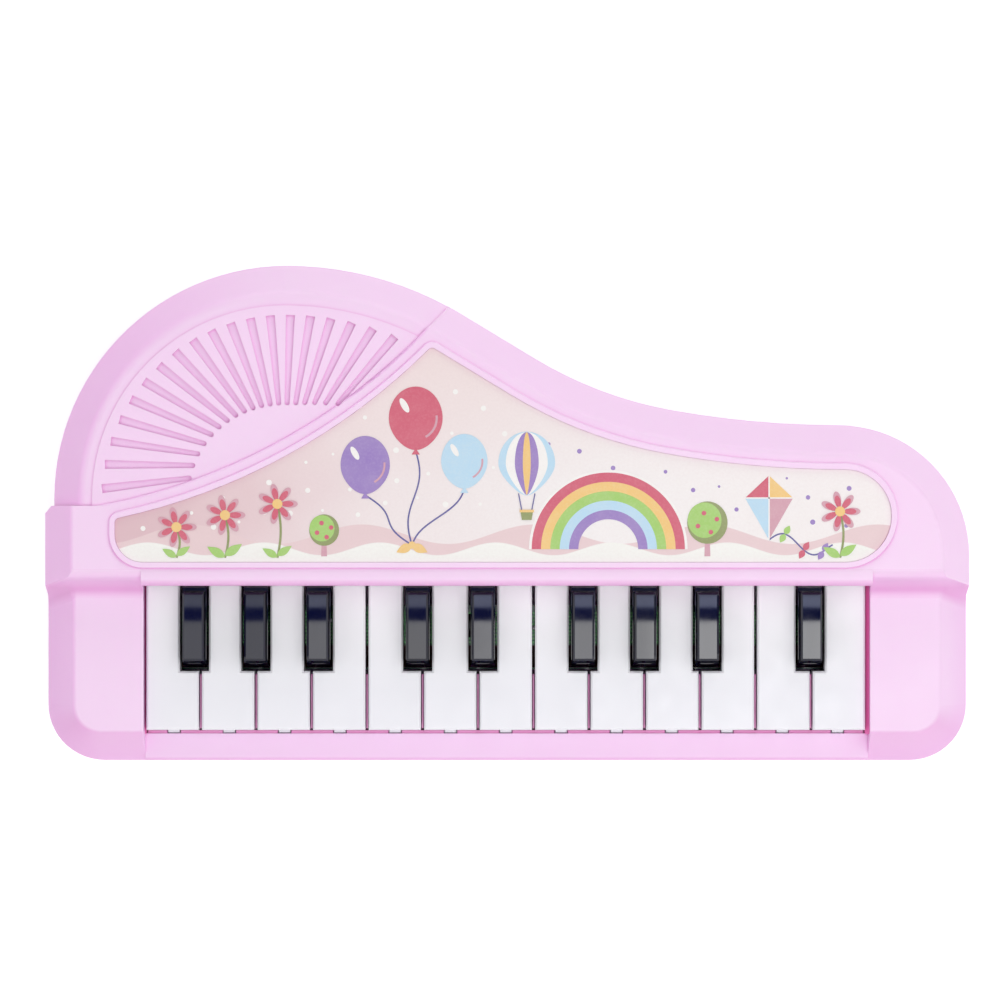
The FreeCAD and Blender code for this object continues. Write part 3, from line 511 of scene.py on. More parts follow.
@dataclass(frozen=True)
class MattRubber:
    """Dusty moulded rubber, potting or sintered stuff with a coarse grain."""

    name: str
    colour: Srgb
    dust: Srgb
    roughness: float = 0.8
    grain: float = 0.5
    grain_depth: float = 0.03
    swing: float = 0.08

    def make(self) -> Material:
        """Build the material."""
        shade = Shade(self.name)
        specks = shade.cloud(size=1.6, detail=4.0, end=0.55, usual=(0.48, 0.72))
        shade.put(Base_Color=shade.mix(specks, linear(self.colour), linear(self.dust)))
        least, most = self.roughness - self.swing, self.roughness + self.swing
        shade.put(Roughness=shade.cloud(size=4.0, start=least, end=most))
        shade.bump(shade.noise(self.grain, detail=3.0), self.grain_depth)
        return shade.material


@dataclass(frozen=True)
class PlatedMetal:
    """Plated metal with cloudy tarnish and fine rubbing marks along X."""

    name: str
    colour: Srgb
    tarnish: Srgb
    roughness: float = 0.28
    mark: float = 0.25
    mark_stretch: Place = (0.08, 1.0, 1.0)
    mark_depth: float = 0.004

    def make(self) -> Material:
        """Build the material."""
        shade = Shade(self.name)
        clouds = shade.cloud(size=3.0, detail=4.0, usual=(0.35, 0.7))
        stretch = shade.node("ShaderNodeMapping", {"Vector": shade.place, "Scale": self.mark_stretch})
        marks = shade.noise(self.mark, place=stretch.outputs["Vector"])
        shade.put(Base_Color=shade.mix(clouds, linear(self.colour), linear(self.tarnish)), Metallic=1.0)
        least, most = self.roughness - 0.08, self.roughness + 0.1
        shade.put(Roughness=shade.span(marks, 0.3, 0.7, least, most))
        shade.bump(marks, self.mark_depth)
        return shade.material


@dataclass(frozen=True)
class ConePaper:
    """Pressed paper with faint rings round the speaker's centre."""

    name: str
    colour: Srgb
    fibre: Srgb
    centre: Point
    ring: float = 1.6
    ring_depth: float = 0.05
    fibre_depth: float = 0.03

    def make(self) -> Material:
        """Build the material."""
        shade = Shade(self.name)
        offsets = [shade.math("SUBTRACT", at, mid * MM) for at, mid in zip(shade.axes(), self.centre)]
        square = shade.math("ADD", *(shade.math("MULTIPLY", off, off) for off in offsets))
        turns = shade.math("MULTIPLY", shade.math("SQRT", square), 2 * math.pi / (self.ring * MM))
        rings = shade.math("SINE", turns)
        fibres = shade.cloud(size=0.6, detail=4.0, end=0.6, usual=(0.4, 0.7))
        shade.put(Base_Color=shade.mix(fibres, linear(self.colour), linear(self.fibre)))
        shade.put(Roughness=shade.cloud(size=2.0, start=0.78, end=0.92))
        under = shade.bump(shade.span(rings, -1.0, 1.0), self.ring_depth)
        shade.bump(fibres, self.fibre_depth, under)
        return shade.material


@dataclass(frozen=True)
class CellJacket:
    """Shrunk foil on a cell: a bright end cap, a coloured band and a dark body, with no marks on it."""

    name: str
    start: float
    end: float
    body: Srgb
    band: Srgb
    metal: Srgb = (196, 197, 200)
    body_start: float = 0.025
    band_start: float = 0.66
    cap_start: float = 0.95
    crease: float = 1.4
    crease_depth: float = 0.01

    def make(self) -> Material:
        """Build the material."""
        shade = Shade(self.name)
        along = shade.span(shade.axes()[0], self.start * MM, self.end * MM)
        stops = ((0.0, self.metal), (self.body_start, self.body), (self.band_start, self.band),
                 (self.cap_start, self.metal))
        colour = shade.ramp(along, stops)
        colour.node.color_ramp.interpolation = "CONSTANT"
        scuff = shade.cloud(size=2.2, detail=4.0, end=0.3, usual=(0.5, 0.75))
        shade.put(Base_Color=shade.mix(scuff, colour, linear(self.metal)), Metallic=0.55)
        shade.put(Roughness=shade.cloud(size=3.0, start=0.24, end=0.4))
        shade.bump(shade.noise(self.crease, detail=3.0), self.crease_depth)
        return shade.material


# Meshes


def dress(node: str, material: Material) -> None:
    """Give a CAD node its finish.

    Args:
        node: the node's name.
        material: the finish.
    """
    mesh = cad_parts[node].data
    mesh.materials.clear()
    mesh.materials.append(material)
    LOG.info("dressed %s in %s", node, material.name)


def place_piece(name: str, mesh: bpy.types.Mesh) -> Piece:
    """Put a mesh into the scene as an object at the origin."""
    piece = bpy.data.objects.new(name, mesh)
    bpy.context.scene.collection.objects.link(piece)
    return piece


def settle(piece: Piece) -> Piece:
    """Turn an object's evaluated modifiers into its own plain mesh.

    Args:
        piece: the object, with its modifiers.

    Returns:
        The same object, with a plain mesh and no modifiers.
    """
    bpy.context.view_layer.update()
    graph = bpy.context.evaluated_depsgraph_get()
    mesh = bpy.data.meshes.new_from_object(piece.evaluated_get(graph))
    piece.modifiers.clear()
    spent = piece.data
    piece.data = mesh
    mesh.name = piece.name
    bpy.data.meshes.remove(spent)
    return piece


def attach(piece: Piece, slot: str, *stands_for: str, body: str = CASE,
           finish: Material | None = None) -> None:
    """Let a finished piece ride on a body and take its CAD nodes' place.

    Args:
        piece: the finished piece.
        slot: the record's material slot; not used.
        stands_for: CAD nodes that it replaces.
        body: the body that carries it.
        finish: its finish, if it has none yet.
    """
    if finish:
        piece.data.materials.append(finish)
    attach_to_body(piece, body)
    if stands_for:
        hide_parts(*stands_for)
    LOG.info("placed %s with %d faces", piece.name, len(piece.data.polygons))


def shift(piece: Piece, place: Place) -> Piece:
    """Move a piece's mesh by a way in mm."""
    piece.data.transform(Matrix.Translation(Vector(place) * MM))
    return piece


def keep_solid(name: str, solid: bmesh.types.BMesh) -> Piece:
    """Turn a finished solid into an object at the origin."""
    mesh = bpy.data.meshes.new(name)
    solid.to_mesh(mesh)
    solid.free()
    return place_piece(name, mesh)


def lathe(name: str, profile: Sequence[Point], steps: int) -> Piece:
    """Turn a profile about the Z axis into a closed solid.

    Args:
        name: the object's name.
        profile: radius and height of each corner in mm, from the axis round to the axis.
        steps: how many flats go round.

    Returns:
        The object.
    """
    solid = bmesh.new()
    turns = [2 * math.pi * step / steps for step in range(steps)]
    rings = []
    for radius, height in profile:
        if radius == 0:
            rings.append([solid.verts.new((0, 0, height * MM))] * steps)
            continue
        spots = [(radius * MM * math.cos(t), radius * MM * math.sin(t), height * MM) for t in turns]
        rings.append([solid.verts.new(spot) for spot in spots])
    for below, above in zip(rings, rings[1:]):
        for step in range(steps):
            after = (step + 1) % steps
            corners = list(dict.fromkeys((below[step], below[after], above[after], above[step])))
            solid.faces.new(corners)
    bmesh.ops.recalc_face_normals(solid, faces=solid.faces)
    return keep_solid(name, solid)


def raise_outline(solid: bmesh.types.BMesh, outline: Sequence[Point], low: float, high: float) -> None:
    """Add one closed prism to a mesh.

    Args:
        solid: the mesh that gets it.
        outline: the corners in mm, in either order.
        low: the lower height in mm.
        high: the upper height in mm.
    """
    pairs = list(zip(outline, list(outline[1:]) + [outline[0]]))
    area = sum(ax * by - bx * ay for (ax, ay), (bx, by) in pairs)
    corners = list(outline) if area > 0 else list(reversed(outline))
    floor = [solid.verts.new((x * MM, y * MM, low * MM)) for x, y in corners]
    roof = [solid.verts.new((x * MM, y * MM, high * MM)) for x, y in corners]
    solid.faces.new(list(reversed(floor)))
    solid.faces.new(roof)
    for at in range(len(corners)):
        after = (at + 1) % len(corners)
        solid.faces.new((floor[at], floor[after], roof[after], roof[at]))


def prism(name: str, outline: Sequence[Point], low: float, high: float) -> Piece:
    """Raise an outline into a closed solid.

    Args:
        name: the object's name.
        outline: the corners in mm, in either order.
        low: the lower height in mm.
        high: the upper height in mm.

    Returns:
        The object.
    """
    solid = bmesh.new()
    raise_outline(solid, outline, low, high)
    return keep_solid(name, solid)


def slab(name: str, size: Place, edge: float) -> Piece:
    """Make a block with rounded edges, the middle of its underside at the origin.

    Args:
        name: the object's name.
        size: its length along X, Y and Z in mm.
        edge: the rounding of all edges in mm.

    Returns:
        The object.
    """
    solid = bmesh.new()
    bmesh.ops.create_cube(solid, size=1.0)
    for vertex in solid.verts:
        x, y, z = vertex.co
        vertex.co = (x * size[0] * MM, y * size[1] * MM, (z + 0.5) * size[2] * MM)
    rounding = {"offset": edge * MM, "segments": 2, "profile": 0.5}
    bmesh.ops.bevel(solid, geom=list(solid.edges), affect="EDGES", **rounding)
    return keep_solid(name, solid)


class Recipe(Nodes):
    """A Geometry Nodes tree with named inputs, run once on a mesh of places to give a plain mesh."""

    def __init__(self, name: str) -> None:
        """Start a tree that takes places and gives a piece.

        Args:
            name: the tree's name.
        """
        super().__init__(bpy.data.node_groups.new(name, "GeometryNodeTree"))
        self.tree.interface.new_socket("Places", in_out="INPUT", socket_type="NodeSocketGeometry")
        self.tree.interface.new_socket("Piece", in_out="OUTPUT", socket_type="NodeSocketGeometry")
        self.entry = self.tree.nodes.new("NodeGroupInput")
        self.values: dict[str, Any] = {}

    def ask(self, name: str, kind: str, value: Any) -> Socket:
        """Add a named input to the tree.

        Args:
            name: the input's name.
            kind: Float, Int, Material or Object.
            value: what it is set to on the modifier.

        Returns:
            The socket that gives the value inside the tree.
        """
        socket = self.tree.interface.new_socket(name, in_out="INPUT", socket_type="NodeSocket" + kind)
        self.values[socket.identifier] = value
        return self.entry.outputs[name]

    def length(self, name: str, value: float) -> Socket:
        """Add a named length, given in mm, to the tree's inputs."""
        return self.ask(name, "Float", value * MM)

    def places(self) -> Socket:
        """Give the geometry that the piece is made on."""
        return self.entry.outputs["Places"]

    def vector(self, x: Any, y: Any, z: Any) -> Socket:
        """Join three values into a vector."""
        return self.node("ShaderNodeCombineXYZ", {0: x, 1: y, 2: z}).outputs[0]

    def disc(self, corners: int, radius: Any, depth: Any) -> Socket:
        """Make a flat disc with one face above and one below."""
        inputs = {"Vertices": corners, "Radius": radius, "Depth": depth}
        return self.node("GeometryNodeMeshCylinder", inputs, fill_type="NGON").outputs["Mesh"]

    def row(self, count: Any, step: Any) -> Socket:
        """Set points in a row."""
        return self.node("GeometryNodeMeshLine", {"Count": count, "Offset": step}).outputs[0]

    def copies(self, points: Socket, shape: Socket, **changes: Any) -> Socket:
        """Set a copy of a shape at each point, turned or scaled if asked."""
        inputs = {"Points": points, "Instance": shape, **changes}
        return self.node("GeometryNodeInstanceOnPoints", inputs).outputs[0]

    def run(self, name: str, geometry: Socket, material: Material, base: bpy.types.Mesh) -> Piece:
        """Close the tree, run it on a mesh of places and keep the plain result.

        Args:
            name: the new piece's name.
            geometry: the socket with the repeated shapes.
            material: the finish of all of them.
            base: the mesh of places.

        Returns:
            The new piece.
        """
        finish = self.ask("Finish", "Material", material)
        real = self.node("GeometryNodeRealizeInstances", {0: geometry})
        dressed = self.node("GeometryNodeSetMaterial", {"Geometry": real.outputs[0], "Material": finish})
        self.node("NodeGroupOutput", {0: dressed.outputs[0]})
        piece = place_piece(name, base)
        modifier = piece.modifiers.new(name, "NODES")
        modifier.node_group = self.tree
        for identifier, value in self.values.items():
            modifier[identifier] = value
        return settle(piece)


def points_mesh(name: str, places: Sequence[Place]) -> bpy.types.Mesh:
    """Make a mesh of bare points.

    Args:
        name: the mesh's name.
        places: each point in mm.

    Returns:
        The mesh.
    """
    mesh = bpy.data.meshes.new(name)
    mesh.from_pydata([tuple(value * MM for value in place) for place in places], [], [])
    return mesh


def repeat_shape(name: str, shape: Piece, places: Sequence[Place], material: Material,
                 seed: int = 0, spin: float = 0.0) -> Piece:
    """Copy one shape to many places, each turned by chance about Z.

    Args:
        name: the new piece's name.
        shape: the shape about the origin, which is removed afterwards.
        places: where the copies go, in mm.
        material: their finish.
        seed: the seed of the turns.
        spin: the largest turn, in radians.

    Returns:
        The new piece.
    """
    recipe = Recipe(name + "_copies")
    pattern = recipe.node("GeometryNodeObjectInfo", {"Object": recipe.ask("Shape", "Object", shape)})
    most = recipe.vector(0.0, 0.0, recipe.ask("Largest turn", "Float", spin))
    chance = {"Min": (0.0, 0.0, 0.0), "Max": most, "Seed": recipe.ask("Turn seed", "Int", seed)}
    turn = recipe.node("FunctionNodeRandomValue", chance, data_type="FLOAT_VECTOR")
    made = recipe.copies(recipe.places(), pattern.outputs["Geometry"], Rotation=turn.outputs["Value"])
    piece = recipe.run(name, made, material, points_mesh(name, places))
    bpy.data.objects.remove(shape)
    return piece


def group_middles(node: str, reach: float, above: float = 0.0) -> list[Point]:
    """Find the middles of a node's separate pieces, seen from above.

    Args:
        node: the CAD node.
        reach: points closer than this, in mm, belong to one piece.
        above: points lower than this, in mm, are left aside.

    Returns:
        The middle of each piece in mm.
    """
    groups: list[list[Vector]] = []
    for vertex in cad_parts[node].data.vertices:
        if vertex.co.z < above * MM:
            continue
        spot = Vector((vertex.co.x, vertex.co.y)) / MM
        for group in groups:
            if (group[0] - spot).length < reach:
                group.append(spot)
                break
        else:
            groups.append([spot])
    middles = []
    for group in groups:
        xs, ys = [s.x for s in group], [s.y for s in group]
        middles.append(((min(xs) + max(xs)) / 2, (min(ys) + max(ys)) / 2))
    return sorted(middles)


# Case, screws and feet


@dataclass
class CaseWork:
    """Both shells with two small ribs of the upper one, the screws that hold them and the feet."""

    # The pink's crevice, slope, left-facing, player-facing and foot colours are painted shade
    pink: MouldedPlastic = MouldedPlastic(
        "pink_shell_plastic", (248, 217, 245), (247, 214, 243), veil=0.25, crevice_shade=(240, 186, 229),
        slope_shade=(254, 216, 250), left=(253, 200, 246), front=(233, 170, 221), foot=(244, 186, 238))
    base: MouldedPlastic = MouldedPlastic(
        "pink_floor_plastic", (246, 211, 242), (243, 205, 238), roughness=0.5, veil=0.25)
    steel: PlatedMetal = PlatedMetal("screw_plating", (190, 190, 192), (150, 148, 146))
    rubber: MattRubber = MattRubber("foot_rubber_black", (40, 38, 40), (92, 86, 88))
    head_radius: float = 2.6
    head_height: float = 1.7
    shank_radius: float = 1.25
    shank_neck: float = 0.6
    thread_start: float = 1.2
    thread_pitch: float = 1.1
    thread_root: float = 0.8
    thread_end: float = 2.5
    tip_length: float = 1.0
    tip_room: float = 0.01
    recess_arm: float = 1.55
    recess_width: float = 0.62
    recess_depth: float = 1.05
    foot_radius: float = 5.0
    foot_round: float = 0.5
    foot_cup: float = 0.35
    corner_rib: tuple[Point, ...] = ((-123.16, 1.62), (-121.8, 1.62), (-121.8, 2.08), (-122.7, 2.08))
    corner_rib_span: Point = (12.05, 23.2)
    opening: Point = (-98.1, 97.8)
    lip_front: float = -19.35
    lip_rear: float = -14.75
    lip_span: Point = (25.6, 34.97)
    lip_round: float = 2.0
    lip_flats: int = 8
    lip_root: tuple[Point, ...] = ((-15.9, 33.6), (-18.9, 25.6))
    steps: int = 36

    def screw_shape(self, length: float, head_down: bool) -> Piece:
        """Make one pan-head screw with a cross recess, its seat at the origin.

        Args:
            length: the shank's length below the head, in mm.
            head_down: whether the head faces down.

        Returns:
            The screw.
        """
        r, h, s = self.head_radius, self.head_height, self.shank_radius
        crown = [(0, h), (r * 0.55, h), (r * 0.86, h * 0.8), (r, h * 0.4), (r, 0), (s, 0)]
        pitch, root = self.thread_pitch, s * self.thread_root
        thread: list[Point] = [(s, -self.shank_neck)]
        for turn in range(int((length - self.thread_end) / pitch)):
            top = -self.thread_start - turn * pitch
            thread += [(root, top), (s, top - pitch * 0.45), (root, top - pitch * 0.9)]
        tip = [(root, -length + self.tip_length), (0, -length)]
        screw = lathe("screw", crown + thread + tip, self.steps)
        arm, half = self.recess_arm, self.recess_width / 2
        plus = [(arm, -half), (arm, half), (half, half), (half, arm), (-half, arm), (-half, half),
                (-arm, half), (-arm, -half), (-half, -half), (-half, -arm), (half, -arm), (half, -half)]
        cutter = prism("cross", plus, h - self.recess_depth, h + 1)
        cut = screw.modifiers.new("cross", "BOOLEAN")
        cut.operation = "DIFFERENCE"
        cut.solver = "EXACT"
        cut.object = cutter
        settle(screw)
        bpy.data.objects.remove(cutter)
        if head_down:
            screw.data.transform(Matrix.Rotation(math.pi, 4, "X"))
        return screw

    def add_screws(self, node: str, head_down: bool, seed: int) -> None:
        """Replace a group of plain screws by threaded ones at the same places.

        Args:
            node: the CAD node with the group.
            head_down: whether the heads face down.
            seed: the seed of the turns.
        """
        low, high = (corner.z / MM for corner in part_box(node))
        seat = low + self.head_height if head_down else high - self.head_height
        length = (high - seat if head_down else seat - low) - self.tip_room
        middles = group_middles(node, 2 * self.head_radius + 1)
        places = [(x, y, seat) for x, y in middles]
        shape = self.screw_shape(length, head_down)
        piece = repeat_shape(node + "_threaded", shape, places, self.steel.make(), seed, 2 * math.pi)
        attach(piece, "screw_steel", node)

    def add_feet(self) -> None:
        """Replace the plain feet by rounded ones with a shallow cup underneath."""
        low, high = (corner.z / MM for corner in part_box("rubber_feet"))
        r, edge = self.foot_radius, self.foot_round
        cup = [(0, self.foot_cup), (r * 0.55, self.foot_cup - 0.05), (r * 0.72, 0)]
        rim = [(r - edge, 0), (r - edge * 0.3, edge * 0.3), (r, edge), (r, high - low), (0, high - low)]
        shape = lathe("foot", cup + rim, self.steps)
        places = [(x, y, low) for x, y in group_middles("rubber_feet", 2 * r + 1)]
        piece = repeat_shape("rounded_feet", shape, places, self.rubber.make())
        attach(piece, "foot_rubber", "rubber_feet")

    def add_corner_rib(self, plastic: Material) -> None:
        """Close the inner corner between the round end's wall and the left end block."""
        rib = prism("corner_rib", self.corner_rib, *self.corner_rib_span)
        attach(rib, "pink_case", finish=plastic)

    def add_deck_lip(self, plastic: Material) -> None:
        """Stand the deck's front upright over the keys, with a rounded top edge."""
        low, high = self.lip_span
        r = self.lip_round
        turns = [math.pi - math.pi / 2 * step / self.lip_flats for step in range(self.lip_flats + 1)]
        edge = [(self.lip_front + r + r * math.cos(a), high - r + r * math.sin(a)) for a in turns]
        outline = [(self.lip_front, low), *edge, (self.lip_rear, high), *self.lip_root]
        lip = prism("deck_lip", outline, *self.opening)
        lip.data.transform(ALONG_X)
        attach(lip, "pink_case", finish=plastic)

    def build(self) -> None:
        """Dress the shells and add the ribs, screws and feet."""
        shell = self.pink.make()
        dress("top_shell", shell)
        self.add_corner_rib(shell)
        self.add_deck_lip(shell)
        floor = self.base.make()
        dress("bottom_shell", floor)
        dress("battery_door", floor)
        self.add_screws("case_screws", head_down=True, seed=3)
        self.add_screws("board_screws", head_down=False, seed=4)
        self.add_feet()


# Keys


@dataclass
class KeySet:
    """The white and black keys, the bar that carries them and the ribs that show in their gaps."""

    # The ivory's rear colour is painted light
    ivory: KeyGloss = KeyGloss(
        "white_key_gloss", (240, 239, 245), (239, 238, 244), roughness=0.36, middle=-38.0, crown=0.15,
        veil=0.3, painted_rear_light=(252, 252, 254))
    ebony: KeyGloss = KeyGloss(
        "black_key_gloss", (10, 11, 39), (8, 9, 31), roughness=0.05, middle=-30.0, crown=2.4)
    bar: MouldedPlastic = MouldedPlastic("key_bar_plastic", (226, 224, 226), (214, 211, 214), roughness=0.5)
    # Painted shade: the guides take a deep pink copy of the case plastic, the colour of pink in the shade of
    # the key gaps
    guide: MouldedPlastic = MouldedPlastic(
        "key_guide_plastic", (246, 168, 216), (238, 156, 206), roughness=0.5)
    # Painted shade: a magenta copy of the case plastic for the shaded inner walls beside the end keys
    wall: MouldedPlastic = MouldedPlastic("end_wall_plastic", (252, 128, 196), (248, 120, 190), roughness=0.5)
    end_walls: tuple[tuple[Point, ...], ...] = (
        ((-98.15, 12.0), (-97.75, 12.0), (-97.75, 19.5), (-98.15, 21.5)),
        ((96.92, 12.0), (97.85, 12.0), (97.85, 23.8), (96.92, 21.8)),
    )
    end_wall_run: Point = (19.0, 59.6)
    front: float = -58.45
    rail: float = -59.65
    blade: Place = (0.5, 14.6, 17.6)
    blade_middle: float = -50.8
    blade_foot: float = 3.4
    ledge: Place = (11.4, 0.95, 1.4)
    end_ledge: float = 5.25
    ledge_foot: float = 16.7
    tab: Place = (3.1, 1.05, 2.3)
    tab_foot: float = 16.4
    edge: float = 0.12
    overlap: float = 0.1

    def add_guides(self, whites: Sequence[str]) -> None:
        """Stand a comb of thin blades between the white keys and set a ledge along the slot in front of them.

        Args:
            whites: the white keys' nodes, from left to right.
        """
        boxes = [[corner.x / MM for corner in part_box(node)] for node in whites]
        gaps = [(left[1] + right[0]) / 2 for left, right in zip(boxes, boxes[1:])]
        plastic = self.guide.make()
        comb = [(x, self.blade_middle, self.blade_foot) for x in gaps]
        attach(repeat_shape("key_comb", slab("blade", self.blade, self.edge), comb, plastic), "pink_base")
        y = self.rail + self.ledge[1] / 2 - self.overlap
        steps = [(x, y, self.ledge_foot) for x in gaps]
        attach(repeat_shape("slot_ledge", slab("ledge", self.ledge, self.edge), steps, plastic), "pink_case")
        half = self.end_ledge / 2
        ends = [(x, y, self.ledge_foot) for x in (boxes[0][0] + half, boxes[-1][1] - half)]
        short = slab("ledge_end", (self.end_ledge, *self.ledge[1:]), self.edge)
        attach(repeat_shape("slot_ledge_ends", short, ends, plastic), "pink_case")

    def add_end_walls(self) -> None:
        """Line the case's inner walls beside the first and the last key with a magenta sheet of painted
        shade.
        """
        plastic = self.wall.make()
        for side, outline in zip(("left", "right"), self.end_walls):
            wall = prism("end_wall_" + side, outline, *self.end_wall_run)
            wall.data.transform(Matrix.Rotation(math.pi / 2, 4, "X"))
            attach(wall, "pink_case", finish=plastic)

    def add_tab(self, node: str, material: Material) -> None:
        """Thicken the root of a white key's stop tab.

        Args:
            node: the key's node.
            material: its finish.
        """
        low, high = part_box(node)
        root = slab(node + "_tab_root", self.tab, self.edge)
        y = self.front + self.overlap - self.tab[1] / 2
        shift(root, ((low.x + high.x) / 2 / MM, y, self.tab_foot))
        attach(root, "white_key", body=node, finish=material)

    def build(self) -> None:
        """Dress every key and the bar and add the guides and end walls."""
        white, black = self.ivory.make(), self.ebony.make()
        whites = sorted(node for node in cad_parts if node.startswith("white_key"))
        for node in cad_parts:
            if node.startswith("black_key"):
                dress(node, black)
        for node in whites:
            dress(node, white)
            self.add_tab(node, white)
        dress("key_rail", self.bar.make())
        self.add_guides(whites)
        self.add_end_walls()


# Printed panel

# Gap under the lowest ink in mm, and the shares of a layer that a shape and a dot fill
PRINT_LIFT = 0.004
FILM_SHARE = 0.9
DOT_SHARE = 0.5


class Ink(Enum):
    """The inks of the panel print."""

    LEAF = ((160, 203, 104), (188, 212, 148))
    OLIVE = ((138, 148, 92), (164, 170, 126))
    SKY = ((184, 217, 238), (206, 224, 236))
    VIOLET = ((150, 122, 190), (178, 158, 202))
    PLUM = ((90, 86, 150), (124, 120, 166))
    ROSE = ((206, 88, 112), (216, 128, 142))
    MAUVE = ((208, 154, 170), (220, 182, 190))
    GOLD = ((240, 196, 120), (240, 212, 160))
    PAPER = ((247, 244, 241), (238, 232, 230))

    def finish(self) -> PrintInk:
        """Give this ink's finish."""
        return PrintInk("ink_" + self.name.lower(), *self.value)


def shares(count: int) -> list[float]:
    """Cut the way from 0 to 1 into equal steps."""
    return [at / count for at in range(count + 1)]


def turned(spots: Sequence[Point], x: float, y: float, turn: float) -> list[Point]:
    """Turn an outline about the origin, in degrees, and move it to a place in mm."""
    c, s = math.cos(math.radians(turn)), math.sin(math.radians(turn))
    return [(x + a * c - b * s, y + a * s + b * c) for a, b in spots]


def oval(x: float, y: float, wide: float, tall: float, turn: float = 0.0, steps: int = 40) -> list[Point]:
    """Draw an oval.

    Args:
        x: its middle in mm.
        y: its middle in mm.
        wide: half its width before it is turned.
        tall: half its height before it is turned.
        turn: the turn in degrees.
        steps: how many corners it has.

    Returns:
        The outline.
    """
    angles = [2 * math.pi * step / steps for step in range(steps)]
    return turned([(wide * math.cos(a), tall * math.sin(a)) for a in angles], x, y, turn)


def band(x: float, y: float, inner: float, outer: float, start: float, end: float, steps: int) -> list[Point]:
    """Draw part of a ring.

    Args:
        x: the ring's middle in mm.
        y: the ring's middle in mm.
        inner: the inner radius.
        outer: the outer radius.
        start: the first angle in degrees.
        end: the last angle in degrees.
        steps: how many pieces it is cut in.

    Returns:
        The outline.
    """
    angles = [math.radians(start + (end - start) * i / steps) for i in range(steps + 1)]
    out = [(x + outer * math.cos(a), y + outer * math.sin(a)) for a in angles]
    back = [(x + inner * math.cos(a), y + inner * math.sin(a)) for a in reversed(angles)]
    return out + back


def ribbon(line: Sequence[Point], width: float) -> list[Point]:
    """Draw a strip of even width along a line.

    Args:
        line: the points that it follows, in mm.
        width: the strip's width.

    Returns:
        The outline.
    """
    left, right = [], []
    for at, (x, y) in enumerate(line):
        before, after = line[max(at - 1, 0)], line[min(at + 1, len(line) - 1)]
        along = Vector((after[0] - before[0], after[1] - before[1])).normalized() * (width / 2)
        left.append((x - along.y, y + along.x))
        right.append((x + along.y, y - along.x))
    return left + right[::-1]


def leaf(x: float, y: float, length: float, width: float, turn: float, steps: int = 14) -> list[Point]:
    """Draw a pointed leaf that grows from a point.

    Args:
        x: its foot in mm.
        y: its foot in mm.
        length: from foot to tip.
        width: its greatest width.
        turn: its direction in degrees.
        steps: how many pieces each side is cut in.

    Returns:
        The outline.
    """
    upper = [(length * t, width / 2 * math.sin(math.pi * t ** 0.8)) for t in shares(steps)]
    lower = [(a, -b) for a, b in reversed(upper[1:-1])]
    return turned(upper + lower, x, y, turn)


class InkSheet:
    """All flat shapes of one ink, gathered into one closed mesh."""

    def __init__(self, ink: Ink, ground: float, film: float) -> None:
        """Start an empty sheet.

        Args:
            ink: the ink.
            ground: the card's top in mm.
            film: the thickness of a layer in mm.
        """
        self.ink, self.ground, self.film = ink, ground, film
        self.solid = bmesh.new()

    def add(self, outline: Sequence[Point], layer: int) -> None:
        """Add one shape.

        Args:
            outline: its corners in mm.
            layer: how many layers lie under it.
        """
        low = self.ground + PRINT_LIFT + layer * self.film
        raise_outline(self.solid, outline, low, low + self.film * FILM_SHARE)

    def build(self) -> None:
        """Turn the sheet into a piece."""
        piece = keep_solid("print_" + self.ink.name.lower(), self.solid)
        attach(piece, "printed_card", finish=self.ink.finish().make())


@dataclass(frozen=True)
class PetalRing:
    """One ring of petals on every flower, sunk by some layers of ink."""

    name: str
    long: float
    wide: float
    reach: float
    sunk: int
    ink: Ink


@dataclass(frozen=True)
class DotField:
    """A part of the card with small dots: its outline, the largest dot, the seed and the ink."""

    name: str
    region: tuple[Point, ...]
    radius: float
    seed: int
    ink: Ink


